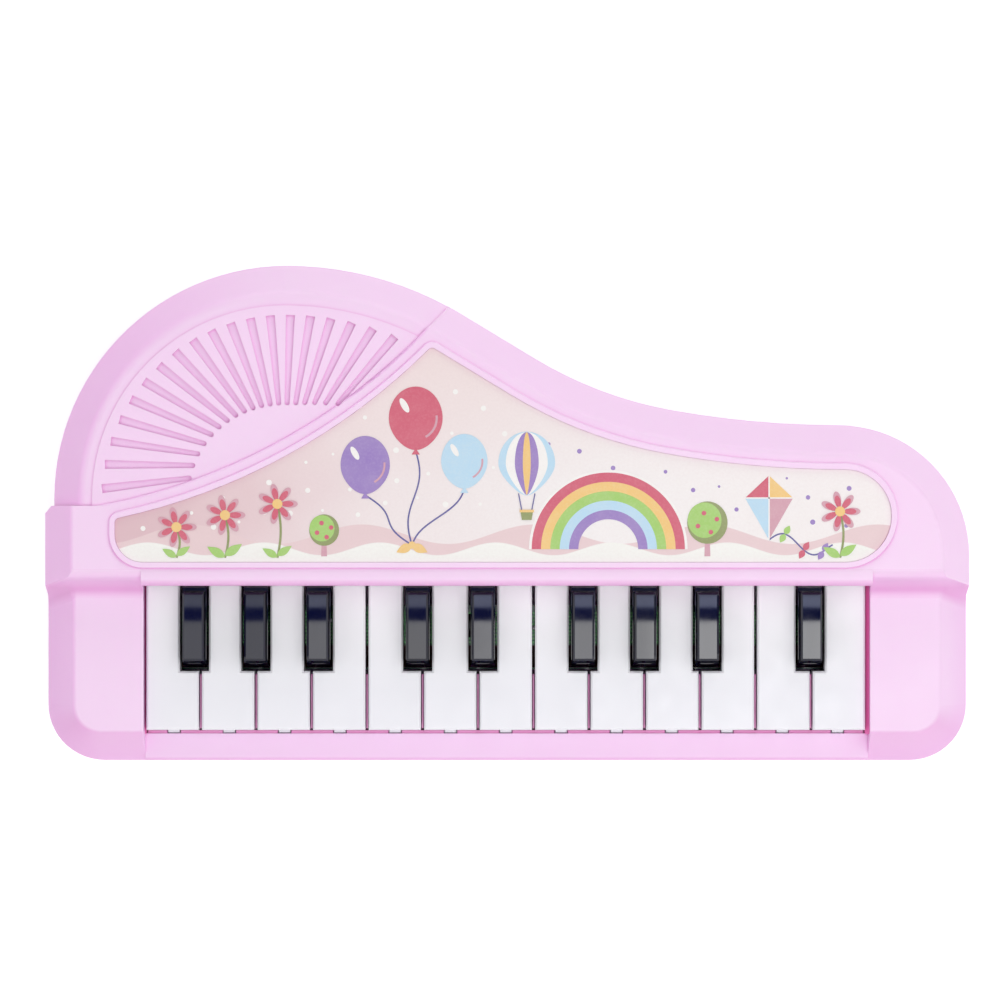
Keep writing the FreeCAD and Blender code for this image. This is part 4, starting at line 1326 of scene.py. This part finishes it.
@dataclass
class PanelPrint:
    """The printed card in the raised frame, with balloons, a rainbow, trees, a kite and flowers."""

    card: PrintedCard = PrintedCard(
        "panel_card", left=-104.95, right=102.75, low=-13.0, upper=(238, 216, 214),
        wash=((0.0, (222, 188, 194)), (0.14, (228, 199, 203)), (0.34, (240, 228, 228)),
              (0.6, (244, 239, 238)), (1.0, (245, 238, 237))),
        hills=(HillBand((232, 206, 208), height=7.5, swing=2.6, length=46.0, lag=0.6),
               HillBand((245, 244, 239), height=3.6, swing=1.7, length=31.0, lag=2.2)))
    film: float = 0.03
    balloons: tuple[tuple[float, float, float, Ink], ...] = (
        (-38.0, 13.0, 6.6, Ink.VIOLET), (-24.5, 25.5, 7.2, Ink.ROSE), (-11.5, 14.0, 6.2, Ink.SKY))
    balloon_tall: float = 1.18
    balloon_knot: float = 1.22
    balloon_pinch: float = 0.16
    string_width: float = 0.42
    string_sag: float = 1.3
    knot: Point = (-25.5, -8.4)
    rainbow: Point = (27.0, -9.5)
    rainbow_outer: float = 20.5
    rainbow_step: float = 2.5
    rainbow_rim: float = 0.7
    airship: Point = (5.2, 13.4)
    airship_radius: float = 7.6
    airship_tall: float = 1.12
    airship_pinch: float = 0.42
    airship_gores: tuple[tuple[float, Ink], ...] = ((0.74, Ink.PAPER), (0.42, Ink.VIOLET), (0.14, Ink.GOLD))
    gore_tall: float = 0.985
    basket: Place = (1.7, 1.3, 2.4)
    basket_rim: Point = (1.9, 0.35)
    trees: tuple[Place, ...] = ((53.5, -2.4, 5.4), (-49.0, -4.4, 4.0))
    tree_foot: float = 1.6
    fruit: float = 0.62
    kite: Point = (70.0, 1.6)
    kite_half: Point = (6.4, 8.6)
    kite_tail: Place = (17.0, 2.6, 2.2)
    flowers: tuple[Place, ...] = (
        (-88.5, -3.6, 1.0), (-75.5, -0.4, 1.25), (-61.5, 2.6, 1.05), (89.0, 0.6, 1.2))
    flower_foot: float = 1.2
    flower_eye: float = 1.35
    petals: int = 7
    petal_layer: float = 5.5
    petal_rings: tuple[PetalRing, ...] = (
        PetalRing("print_petals_front", long=3.3, wide=1.6, reach=2.7, sunk=0, ink=Ink.ROSE),
        PetalRing("print_petals_back", long=3.9, wide=2.0, reach=3.5, sunk=1, ink=Ink.MAUVE))
    dot_fields: tuple[DotField, ...] = (
        DotField("print_dots_white", (
            (-98.0, -3.0), (-62.0, 9.0), (-40.0, 24.0), (-24.0, 39.0),
            (-8.0, 30.0), (4.0, 20.0), (-2.0, 2.0), (-98.0, -6.0)), radius=0.8, seed=11, ink=Ink.PAPER),
        DotField("print_dots_violet", (
            (6.0, 14.0), (8.0, 24.0), (30.0, 14.5), (60.0, 10.5),
            (94.0, 8.5), (96.0, -4.0), (50.0, 0.0)), radius=0.7, seed=12, ink=Ink.VIOLET))
    dot_spacing: float = 6.5
    dot_least: float = 0.45
    sheets: dict[Ink, InkSheet] = field(default_factory=dict)

    def ink(self, ink: Ink, outline: Sequence[Point], layer: int) -> None:
        """Print one shape."""
        self.sheets[ink].add(outline, layer)

    def draw_balloons(self) -> None:
        """Draw the balloons with their knots, shine and strings."""
        kx, ky = self.knot
        for x, y, r, ink in self.balloons:
            tall, foot = r * self.balloon_tall, y - r * self.balloon_knot
            sag = [(x + (kx - x) * t + self.string_sag * math.sin(math.pi * 2 * t), foot + (ky - foot) * t)
                   for t in shares(24)]
            self.ink(Ink.PLUM, ribbon(sag, self.string_width), 1)
            body = []
            for px, py in oval(0, 0, r, tall, steps=56):
                pinch = 1 - self.balloon_pinch * max(0.0, -py / tall) ** 2
                body.append((x + px * pinch, y + py))
            self.ink(ink, body, 2)
            knot = [(x - 1.1, foot - 0.9), (x + 1.1, foot - 0.9), (x, foot + 0.8)]
            shine = oval(x - r * 0.42, y + r * 0.48, wide=r * 0.12, tall=r * 0.3, turn=30)
            edge = band(x, y, inner=r * 0.74, outer=r * 0.82, start=-62, end=8, steps=20)
            for tint, shape in ((ink, knot), (Ink.PAPER, shine), (Ink.MAUVE, edge)):
                self.ink(tint, shape, 3)
        for turn in (205, -25):
            self.ink(Ink.GOLD, leaf(kx, ky, length=4.6, width=2.4, turn=turn), 2)
        self.ink(Ink.GOLD, oval(kx, ky, 1.0, 1.0, steps=20), 3)

    def draw_airship(self) -> None:
        """Draw the hot-air balloon with its gores, ropes and basket."""
        x, y = self.airship
        r = self.airship_radius
        tall = r * self.airship_tall
        envelope = []
        for px, py in oval(0, 0, r, tall, steps=64):
            drop = max(0.0, -py / tall)
            envelope.append((x + px * (1 - self.airship_pinch * drop ** 1.6), y + py))
        self.ink(Ink.SKY, envelope, 1)
        for layer, (share, ink) in enumerate(self.airship_gores, start=2):
            gore = [(x + (px - x) * share, y + (py - y) * self.gore_tall) for px, py in envelope]
            self.ink(ink, gore, layer)
        foot, mouth = y - tall, r * 0.36
        base = foot - r * 0.55
        brim, bottom, deep = self.basket
        for side in (-1, 1):
            rope = [(x + side * mouth * 0.8, foot + 0.5), (x + side * bottom, base)]
            self.ink(Ink.PLUM, ribbon(rope, width=0.3), 5)
        basket = [(x - brim, base), (x + brim, base), (x + bottom, base - deep), (x - bottom, base - deep)]
        self.ink(Ink.OLIVE, basket, 6)
        half, thick = self.basket_rim
        corners = ((-half, thick), (half, thick), (half, -thick), (-half, -thick))
        self.ink(Ink.GOLD, [(x + across, base + up) for across, up in corners], 7)

    def draw_trees(self) -> None:
        """Draw round trees with a darker side and small fruit."""
        for x, y, r in self.trees:
            low = self.card.low + self.tree_foot
            self.ink(Ink.MAUVE, [(x - 0.8, low), (x + 0.8, low), (x + 0.5, y), (x - 0.5, y)], 1)
            self.ink(Ink.OLIVE, oval(x, y, r, r * 1.05), 2)
            self.ink(Ink.LEAF, oval(x - r * 0.14, y + r * 0.12, r * 0.84, r * 0.88), 3)
            for fx, fy in oval(x, y, r * 0.5, r * 0.5, turn=20, steps=4):
                self.ink(Ink.ROSE, oval(fx, fy, self.fruit, self.fruit, steps=18), 4)

    def draw_rainbow(self) -> None:
        """Draw the rainbow bands."""
        x, y = self.rainbow
        outer = self.rainbow_outer
        half = {"start": 0, "end": 180, "steps": 64}
        self.ink(Ink.PAPER, band(x, y, outer, outer + self.rainbow_rim, **half), 1)
        for ink in (Ink.ROSE, Ink.GOLD, Ink.LEAF, Ink.SKY, Ink.VIOLET):
            self.ink(ink, band(x, y, outer - self.rainbow_step, outer, **half), 1)
            outer -= self.rainbow_step

    def draw_kite(self) -> None:
        """Draw the kite with its four panels, spars and tail of bows."""
        x, y = self.kite
        w, h = self.kite_half
        lift = h * 0.3
        top, foot, west, east = (x, y + h), (x, y - h), (x - w, y + lift), (x + w, y + lift)
        middle = (x, y + lift)
        for ink, panel in ((Ink.ROSE, (top, west, middle)), (Ink.GOLD, (top, middle, east)),
                           (Ink.SKY, (west, foot, middle)), (Ink.MAUVE, (middle, foot, east))):
            self.ink(ink, panel, 1)
        for spar in ((top, foot), (west, east)):
            self.ink(Ink.PAPER, ribbon(spar, width=0.35), 2)
        long, fall, swing = self.kite_tail
        tail = [(x + long * t, foot[1] - fall * t + swing * math.sin(2.2 * math.pi * t)) for t in shares(40)]
        self.ink(Ink.PLUM, ribbon(tail, width=0.4), 1)
        for at, ink in ((10, Ink.LEAF), (22, Ink.ROSE), (34, Ink.VIOLET)):
            for turn in (60, 240):
                self.ink(ink, leaf(*tail[at], length=2.6, width=1.7, turn=turn), 2)

    def draw_flowers(self, ground: float) -> None:
        """Draw the flowers: stems and leaves here, petals by their own tree.

        Args:
            ground: the card's top in mm.
        """
        low = self.card.low + self.flower_foot
        for x, y, size in self.flowers:
            stem = [(x + 0.9 * math.sin(math.pi * t), low + (y - low) * t) for t in shares(16)]
            self.ink(Ink.OLIVE, ribbon(stem, width=0.6), 1)
            for layer, rise, turn in ((2, 0.6, 34), (3, 0.2, 150)):
                self.ink(Ink.LEAF, leaf(x, low + rise, 4.4 * size, 1.9 * size, turn), layer)
            self.ink(Ink.GOLD, oval(x, y, self.flower_eye, self.flower_eye, steps=24), 6)
        for ring in self.petal_rings:
            z = ground + PRINT_LIFT + (self.petal_layer - ring.sunk) * self.film
            self.add_petals(ring, [(x, y, z) for x, y, _ in self.flowers])

    def add_petals(self, ring: PetalRing, places: Sequence[Place]) -> None:
        """Set a ring of petals at each place.

        Args:
            ring: the petals' sizes and ink.
            places: the flowers' middles in mm.
        """
        recipe = Recipe(ring.name + "_ring")
        number = recipe.ask("Petals", "Int", self.petals)
        long, wide = recipe.length("Petal length", ring.long), recipe.length("Petal width", ring.wide)
        reach = recipe.length("Reach", ring.reach)
        film = recipe.length("Film", self.film * FILM_SHARE)
        disc = recipe.disc(18, radius=0.5, depth=film)
        stretched = {"Geometry": disc, "Scale": recipe.vector(long, wide, 1.0),
                     "Translation": recipe.vector(reach, 0.0, 0.0)}
        petal = recipe.node("GeometryNodeTransform", stretched).outputs[0]
        index = recipe.node("GeometryNodeInputIndex", {}).outputs[0]
        turn = recipe.math("MULTIPLY", index, recipe.math("DIVIDE", 2 * math.pi, number))
        flower = recipe.copies(recipe.row(number, (0, 0, 0)), petal, Rotation=recipe.vector(0.0, 0.0, turn))
        made = recipe.copies(recipe.places(), flower)
        finish = ring.ink.finish().make()
        attach(recipe.run(ring.name, made, finish, points_mesh(ring.name, places)), "printed_card")

    def add_dots(self, dots: DotField, ground: float) -> None:
        """Scatter small dots over a part of the card.

        Args:
            dots: the part, and the dots' size, seed and ink.
            ground: the card's top in mm.
        """
        recipe = Recipe(dots.name + "_scatter")
        chance = recipe.ask("Seed", "Int", dots.seed)
        gap = recipe.length("Spacing", self.dot_spacing)
        size = recipe.length("Radius", dots.radius)
        film = recipe.length("Film", self.film * DOT_SHARE)
        spread = {"Mesh": recipe.places(), "Distance Min": gap, "Density Max": 400000.0, "Seed": chance}
        spots = recipe.node("GeometryNodeDistributePointsOnFaces", spread, distribute_method="POISSON")
        sizes = {2: self.dot_least, 3: 1.0, "Seed": chance}
        grow = recipe.node("FunctionNodeRandomValue", sizes, data_type="FLOAT")
        flat = recipe.vector(grow.outputs[1], grow.outputs[1], 1.0)
        made = recipe.copies(spots.outputs["Points"], recipe.disc(16, radius=size, depth=film), Scale=flat)
        mesh = bpy.data.meshes.new(dots.name)
        height = (ground + PRINT_LIFT + self.film * DOT_SHARE / 2) * MM
        corners = [(x * MM, y * MM, height) for x, y in dots.region]
        mesh.from_pydata(corners, [], [tuple(range(len(corners)))])
        attach(recipe.run(dots.name, made, dots.ink.finish().make(), mesh), "printed_card")

    def build(self) -> None:
        """Dress the card and print on it."""
        dress("panel_label", self.card.make())
        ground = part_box("panel_label")[1].z / MM
        self.sheets = {ink: InkSheet(ink, ground, self.film) for ink in Ink}
        self.draw_balloons()
        self.draw_airship()
        self.draw_trees()
        self.draw_rainbow()
        self.draw_kite()
        self.draw_flowers(ground)
        for sheet in self.sheets.values():
            sheet.build()
        for dots in self.dot_fields:
            self.add_dots(dots, ground)


# Board, speaker, power


@dataclass
class SoundBoard:
    """The circuit board with its copper runs, and the rubber strip on it."""

    lacquer: BoardLacquer = BoardLacquer("board_lacquer", (62, 128, 84), (44, 104, 66))
    copper: PlatedMetal = PlatedMetal("lacquered_copper", (104, 168, 112), (84, 146, 92), 0.36)
    tin: PlatedMetal = PlatedMetal("pad_tin", (206, 206, 204), (168, 168, 166), 0.3)
    strip: MattRubber = MattRubber("strip_rubber", (74, 44, 42), (110, 76, 70))
    blob: MattRubber = MattRubber("chip_potting", (22, 22, 24), (48, 48, 50), 0.3, 3.0, 0.05)
    runs: int = 9
    run_pitch: float = 1.0
    run_width: float = 0.5
    run_height: float = 0.035
    run_margin: float = 4.0
    run_front: float = -35.2
    pad_radius: float = 0.55
    pad_pitch: float = 7.5
    strip_height: float = 1.0
    strip_edge: float = 0.2
    dome_radius: float = 2.25
    dome_keep: float = 0.2
    dome_dip: float = 0.08
    dome_top: float = 0.1
    dome_steps: int = 24
    pad_flat: float = 0.35

    def add_contacts(self) -> None:
        """Lay the rubber strip and stand a dome on it below every key, named after that key."""
        rubber = self.strip.make()
        low, high = (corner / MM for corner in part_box("contact_strip"))
        size = (high.x - low.x, high.y - low.y, self.strip_height)
        base = slab("contact_strip_base", size, self.strip_edge)
        shift(base, ((low.x + high.x) / 2, (low.y + high.y) / 2, low.z))
        attach(base, "contact_rubber", "contact_strip", finish=rubber)
        foot = low.z + self.strip_height
        r, tall = self.dome_radius, high.z - foot
        wall = [(0, 0), (r, 0), (r, 0.25), (r * 0.93, 0.45), (r * 0.8, tall * 0.55), (r * 0.7, tall * 0.86)]
        dip = tall - self.dome_dip
        crown = [(r * 0.64, tall * 0.96), (r * 0.54, tall), (r * 0.4, dip), (0, dip)]
        places = group_middles("contact_strip", reach=2 * r, above=high.z - self.dome_top)
        keys = [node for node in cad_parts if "_key_" in node]
        keys.sort(key=lambda node: sum(corner.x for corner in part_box(node)))
        for (x, y), key in zip(places, keys, strict=True):
            dome = shift(lathe("rubber_dome_" + key, wall + crown, self.dome_steps), (x, y, foot))
            attach(dome, "contact_rubber", finish=rubber)
            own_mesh(dome)

    def add_runs(self, left: float, right: float, top: float) -> None:
        """Lay the copper runs along the board.

        Args:
            left: the board's left edge in mm.
            right: the board's right edge in mm.
            top: the board's top in mm.
        """
        recipe = Recipe("copper_runs")
        number = recipe.ask("Runs", "Int", self.runs)
        pitch = recipe.length("Pitch", self.run_pitch)
        length = recipe.length("Length", right - left - 2 * self.run_margin)
        width = recipe.length("Width", self.run_width)
        height = recipe.length("Height", self.run_height)
        rows = recipe.row(number, recipe.vector(0.0, pitch, 0.0))
        bar = recipe.node("GeometryNodeMeshCube", {"Size": recipe.vector(length, width, height)})
        block = recipe.copies(recipe.places(), recipe.copies(rows, bar.outputs[0]))
        start = points_mesh("board_runs", [((left + right) / 2, self.run_front, top + self.run_height / 2)])
        attach(recipe.run("board_runs", block, self.copper.make(), start), "circuit_board")

    def add_pads(self, left: float, right: float, top: float) -> None:
        """Set a row of solder pads between the runs and the rear edge.

        Args:
            left: the board's left edge in mm.
            right: the board's right edge in mm.
            top: the board's top in mm.
        """
        recipe = Recipe("solder_pads")
        radius = recipe.length("Radius", self.pad_radius)
        pad = recipe.node("GeometryNodeMeshUVSphere", {"Segments": 12, "Rings": 6, "Radius": radius})
        squat = {"Geometry": pad.outputs["Mesh"], "Scale": (1.0, 1.0, self.pad_flat)}
        flat = recipe.node("GeometryNodeTransform", squat)
        made = recipe.copies(recipe.places(), flat.outputs[0])
        run = right - left - 2 * self.run_margin
        number = int(run / self.pad_pitch)
        spots = []
        for at in range(number + 1):
            y = self.run_front + (at % self.runs) * self.run_pitch
            spots.append((left + self.run_margin + at * run / number, y, top + self.run_height))
        piece = recipe.run("board_pads", made, self.tin.make(), points_mesh("board_pads", spots))
        attach(piece, "circuit_board")

    def build(self) -> None:
        """Dress the board, lay its copper runs and pads and set the rubber strip on it."""
        dress("main_board", self.lacquer.make())
        self.add_contacts()
        dress("chip_blob", self.blob.make())
        low, high = (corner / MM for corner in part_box("main_board"))
        self.add_runs(low.x, high.x, high.z)
        self.add_pads(low.x, high.x, high.z)


@dataclass
class SpeakerWork:
    """The small speaker that faces the floor."""

    basket: PlatedMetal = PlatedMetal("speaker_basket_steel", (176, 178, 180), (142, 142, 142), 0.34)
    ferrite: MattRubber = MattRubber("speaker_ferrite", (58, 56, 58), (88, 86, 88), 0.6, 0.3, 0.02)

    def build(self) -> None:
        """Dress the frame, the cone and the magnet."""
        low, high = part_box("speaker_cone")
        middle = (low + high) / 2 / MM
        paper = ConePaper("speaker_paper", (42, 40, 40), (84, 80, 76), (middle.x, middle.y))
        dress("speaker_frame", self.basket.make())
        dress("speaker_cone", paper.make())
        dress("speaker_magnet", self.ferrite.make())


@dataclass
class PowerWork:
    """The two cells, their contacts and the slide switch."""

    plating: PlatedMetal = PlatedMetal("contact_plating", (212, 210, 204), (176, 172, 164), 0.24)
    black: MouldedPlastic = MouldedPlastic("switch_plastic", (34, 33, 35), (44, 43, 45), roughness=0.38)
    body: Srgb = (46, 62, 54)
    band: Srgb = (196, 160, 84)

    def build(self) -> None:
        """Dress the cells, contacts and switch."""
        for at, node in enumerate(("battery_cell_1", "battery_cell_2")):
            low, high = (corner.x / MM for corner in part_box(node))
            ends = (low, high) if at == 0 else (high, low)
            dress(node, CellJacket(node + "_jacket", *ends, self.body, self.band).make())
        plating = self.plating.make()
        for node in ("battery_contacts", "switch_body"):
            dress(node, plating)
        dress("switch_slider", self.black.make())


# Studio


@dataclass(frozen=True)
class SoftBox:
    """A soft lamp: its place and size in mm and its power in watts."""

    name: str
    place: Place
    size: Point
    power: float


@dataclass
class Studio:
    """Floor, lights and camera."""

    camera_place: Place = (-1.96, 3.65, 1200.0)
    camera_reach: float = 20.0
    lens: float = 156.8
    sensor: float = 36.0
    floor_size: float = 8.0
    floor_colour: Srgb = (245, 245, 246)
    glow: float = 0.45
    ambient: float = 0.49
    rig_bars: tuple[Point, ...] = ((-0.02, 0.023), (0.064, 0.15))
    rig_soft: float = 0.003
    rig_rise: Point = (0.95, 0.97)
    rig_colour: Rgba = (0.01, 0.03, 0.3, 1.0)
    ceiling: float = 1500.0
    strip_start: float = -240.0
    strip_width: float = 110.0
    front_strips: Point = (-520.0, -53.0)
    front_shine: tuple[float, ...] = (0.95, 2.3, 4.0, 6.0, 7.4, 7.4)
    rear_strips: Point = (5.0, 60.0)
    rear_shine: tuple[float, ...] = (0.6, 1.1, 1.55, 1.85, 2.1, 2.1)
    rear_tint: Place = (0.78, 0.9, 1.5)
    boxes: tuple[SoftBox, ...] = (
        SoftBox("key_box", (700.0, 300.0, 1000.0), (600.0, 600.0), 1.9),
        SoftBox("top_box", (100.0, -550.0, 1050.0), (800.0, 500.0), 1.4),
        SoftBox("rear_box", (150.0, 1200.0, 480.0), (1100.0, 400.0), 2.8),
        SoftBox("fill_box", (250.0, -1200.0, 380.0), (1200.0, 400.0), 2.4),
        SoftBox("left_box", (-1100.0, 150.0, 650.0), (600.0, 600.0), 1.0))

    def add_camera(self) -> None:
        """Put the camera straight above, as the photo's was."""
        data = bpy.data.cameras.new("camera")
        data.lens = self.lens
        data.sensor_width = self.sensor
        data.clip_end = self.camera_reach
        camera = bpy.data.objects.new("camera", data)
        camera.location = Vector(self.camera_place) * MM
        bpy.context.scene.collection.objects.link(camera)
        bpy.context.scene.camera = camera

    def seen_share(self, nodes: Nodes) -> Socket:
        """Tell the rays that show a background from those that light the object.

        Args:
            nodes: the node tree that asks.

        Returns:
            1 for camera, glossy and transmission rays, otherwise 0.
        """
        path = nodes.node("ShaderNodeLightPath", {})
        share = path.outputs["Is Camera Ray"]
        for name in ("Is Glossy Ray", "Is Transmission Ray"):
            share = nodes.math("MAXIMUM", share, path.outputs[name])
        return share

    def add_floor(self) -> None:
        """Lay the pale floor, which looks white and keeps the shadow."""
        half = self.floor_size / 2
        mesh = bpy.data.meshes.new("floor")
        corners = [(-half, -half, 0), (half, -half, 0), (half, half, 0), (-half, half, 0)]
        mesh.from_pydata(corners, [], [(0, 1, 2, 3)])
        shade = Shade("floor_paper")
        shade.put(Base_Color=linear(self.floor_colour), Roughness=0.9, Emission_Color=WHITE)
        shade.put(Emission_Strength=shade.math("MULTIPLY", self.seen_share(shade), self.glow))
        mesh.materials.append(shade.material)
        place_piece("floor", mesh)

    def rig_share(self, nodes: Nodes) -> Socket:
        """Find the dark bars of the camera rig, straight overhead, which glossy things mirror.

        Args:
            nodes: the world's node tree.

        Returns:
            1 for a glossy ray that meets a bar, otherwise 0.
        """
        _, along, up = nodes.split(nodes.node("ShaderNodeTexCoord", {}).outputs["Generated"])
        soft = self.rig_soft
        share: Any = 0.0
        for front, rear in self.rig_bars:
            bar = nodes.span(up, *self.rig_rise)
            for low, high in ((front - soft, front + soft), (rear + soft, rear - soft)):
                bar = nodes.math("MULTIPLY", bar, nodes.span(along, low, high))
            share = nodes.math("MAXIMUM", share, bar)
        glossy = nodes.node("ShaderNodeLightPath", {}).outputs["Is Glossy Ray"]
        return nodes.math("MULTIPLY", share, glossy)

    def add_world(self) -> None:
        """Light the object softly from all round, before a white background."""
        world = bpy.data.worlds.new("world")
        world.use_nodes = True
        nodes = Nodes(world.node_tree)
        nodes.tree.nodes.clear()
        strength = nodes.span(self.seen_share(nodes), 0.0, 1.0, self.ambient, 1.0)
        colour = nodes.mix(self.rig_share(nodes), WHITE, self.rig_colour)
        light = nodes.node("ShaderNodeBackground", {"Color": colour, "Strength": strength})
        nodes.node("ShaderNodeOutputWorld", {"Surface": light.outputs[0]})
        bpy.context.scene.world = world

    def add_light(self, box: SoftBox, aim: Place = (0.0, 0.0, 0.0)) -> bpy.types.AreaLight:
        """Hang one soft box and point it at the keyboard or at another spot.

        Args:
            box: the lamp's name, place, size and power.
            aim: the spot that it points at, in mm.

        Returns:
            The lamp's data.
        """
        data = bpy.data.lights.new(box.name, "AREA")
        data.shape = "RECTANGLE"
        data.size, data.size_y = (side * MM for side in box.size)
        data.energy = box.power
        lamp = bpy.data.objects.new(box.name, data)
        lamp.location = Vector(box.place) * MM
        lamp.rotation_euler = (Vector(aim) * MM - lamp.location).to_track_quat("-Z", "Y").to_euler()
        bpy.context.scene.collection.objects.link(lamp)
        return data

    def add_strips(self, name: str, span: Point, shine: Sequence[float], tint: Place) -> None:
        """Hang a row of strip lamps side by side under the ceiling.

        Args:
            name: the row's name.
            span: the front and rear ends of the strips, in mm.
            shine: how bright each strip is, from left to right.
            tint: their colour.
        """
        size = (self.strip_width, span[1] - span[0])
        y = (span[0] + span[1]) / 2
        for at, bright in enumerate(shine):
            x = self.strip_start + (at + 0.5) * self.strip_width
            power = bright * math.pi * size[0] * size[1] * MM * MM
            box = SoftBox(f"{name}_{at + 1}", (x, y, self.ceiling), size, power)
            self.add_light(box, aim=(x, y, 0.0)).color = tint

    def build(self) -> None:
        """Set up the whole studio."""
        bpy.context.scene.view_settings.view_transform = "Standard"
        self.add_camera()
        self.add_floor()
        self.add_world()
        for box in self.boxes:
            self.add_light(box)
        self.add_strips("front_strip", self.front_strips, self.front_shine, WHITE[:3])
        self.add_strips("rear_strip", self.rear_strips, self.rear_shine, self.rear_tint)
        LOG.info("set up the studio")


def main() -> None:
    """Build every sub-assembly in order."""
    logging.basicConfig(level=logging.INFO, format="%(name)s: %(message)s")
    Studio().build()
    CaseWork().build()
    KeySet().build()
    PanelPrint().build()
    SoundBoard().build()
    SpeakerWork().build()
    PowerWork().build()


if __name__ == "__main__":
    main()
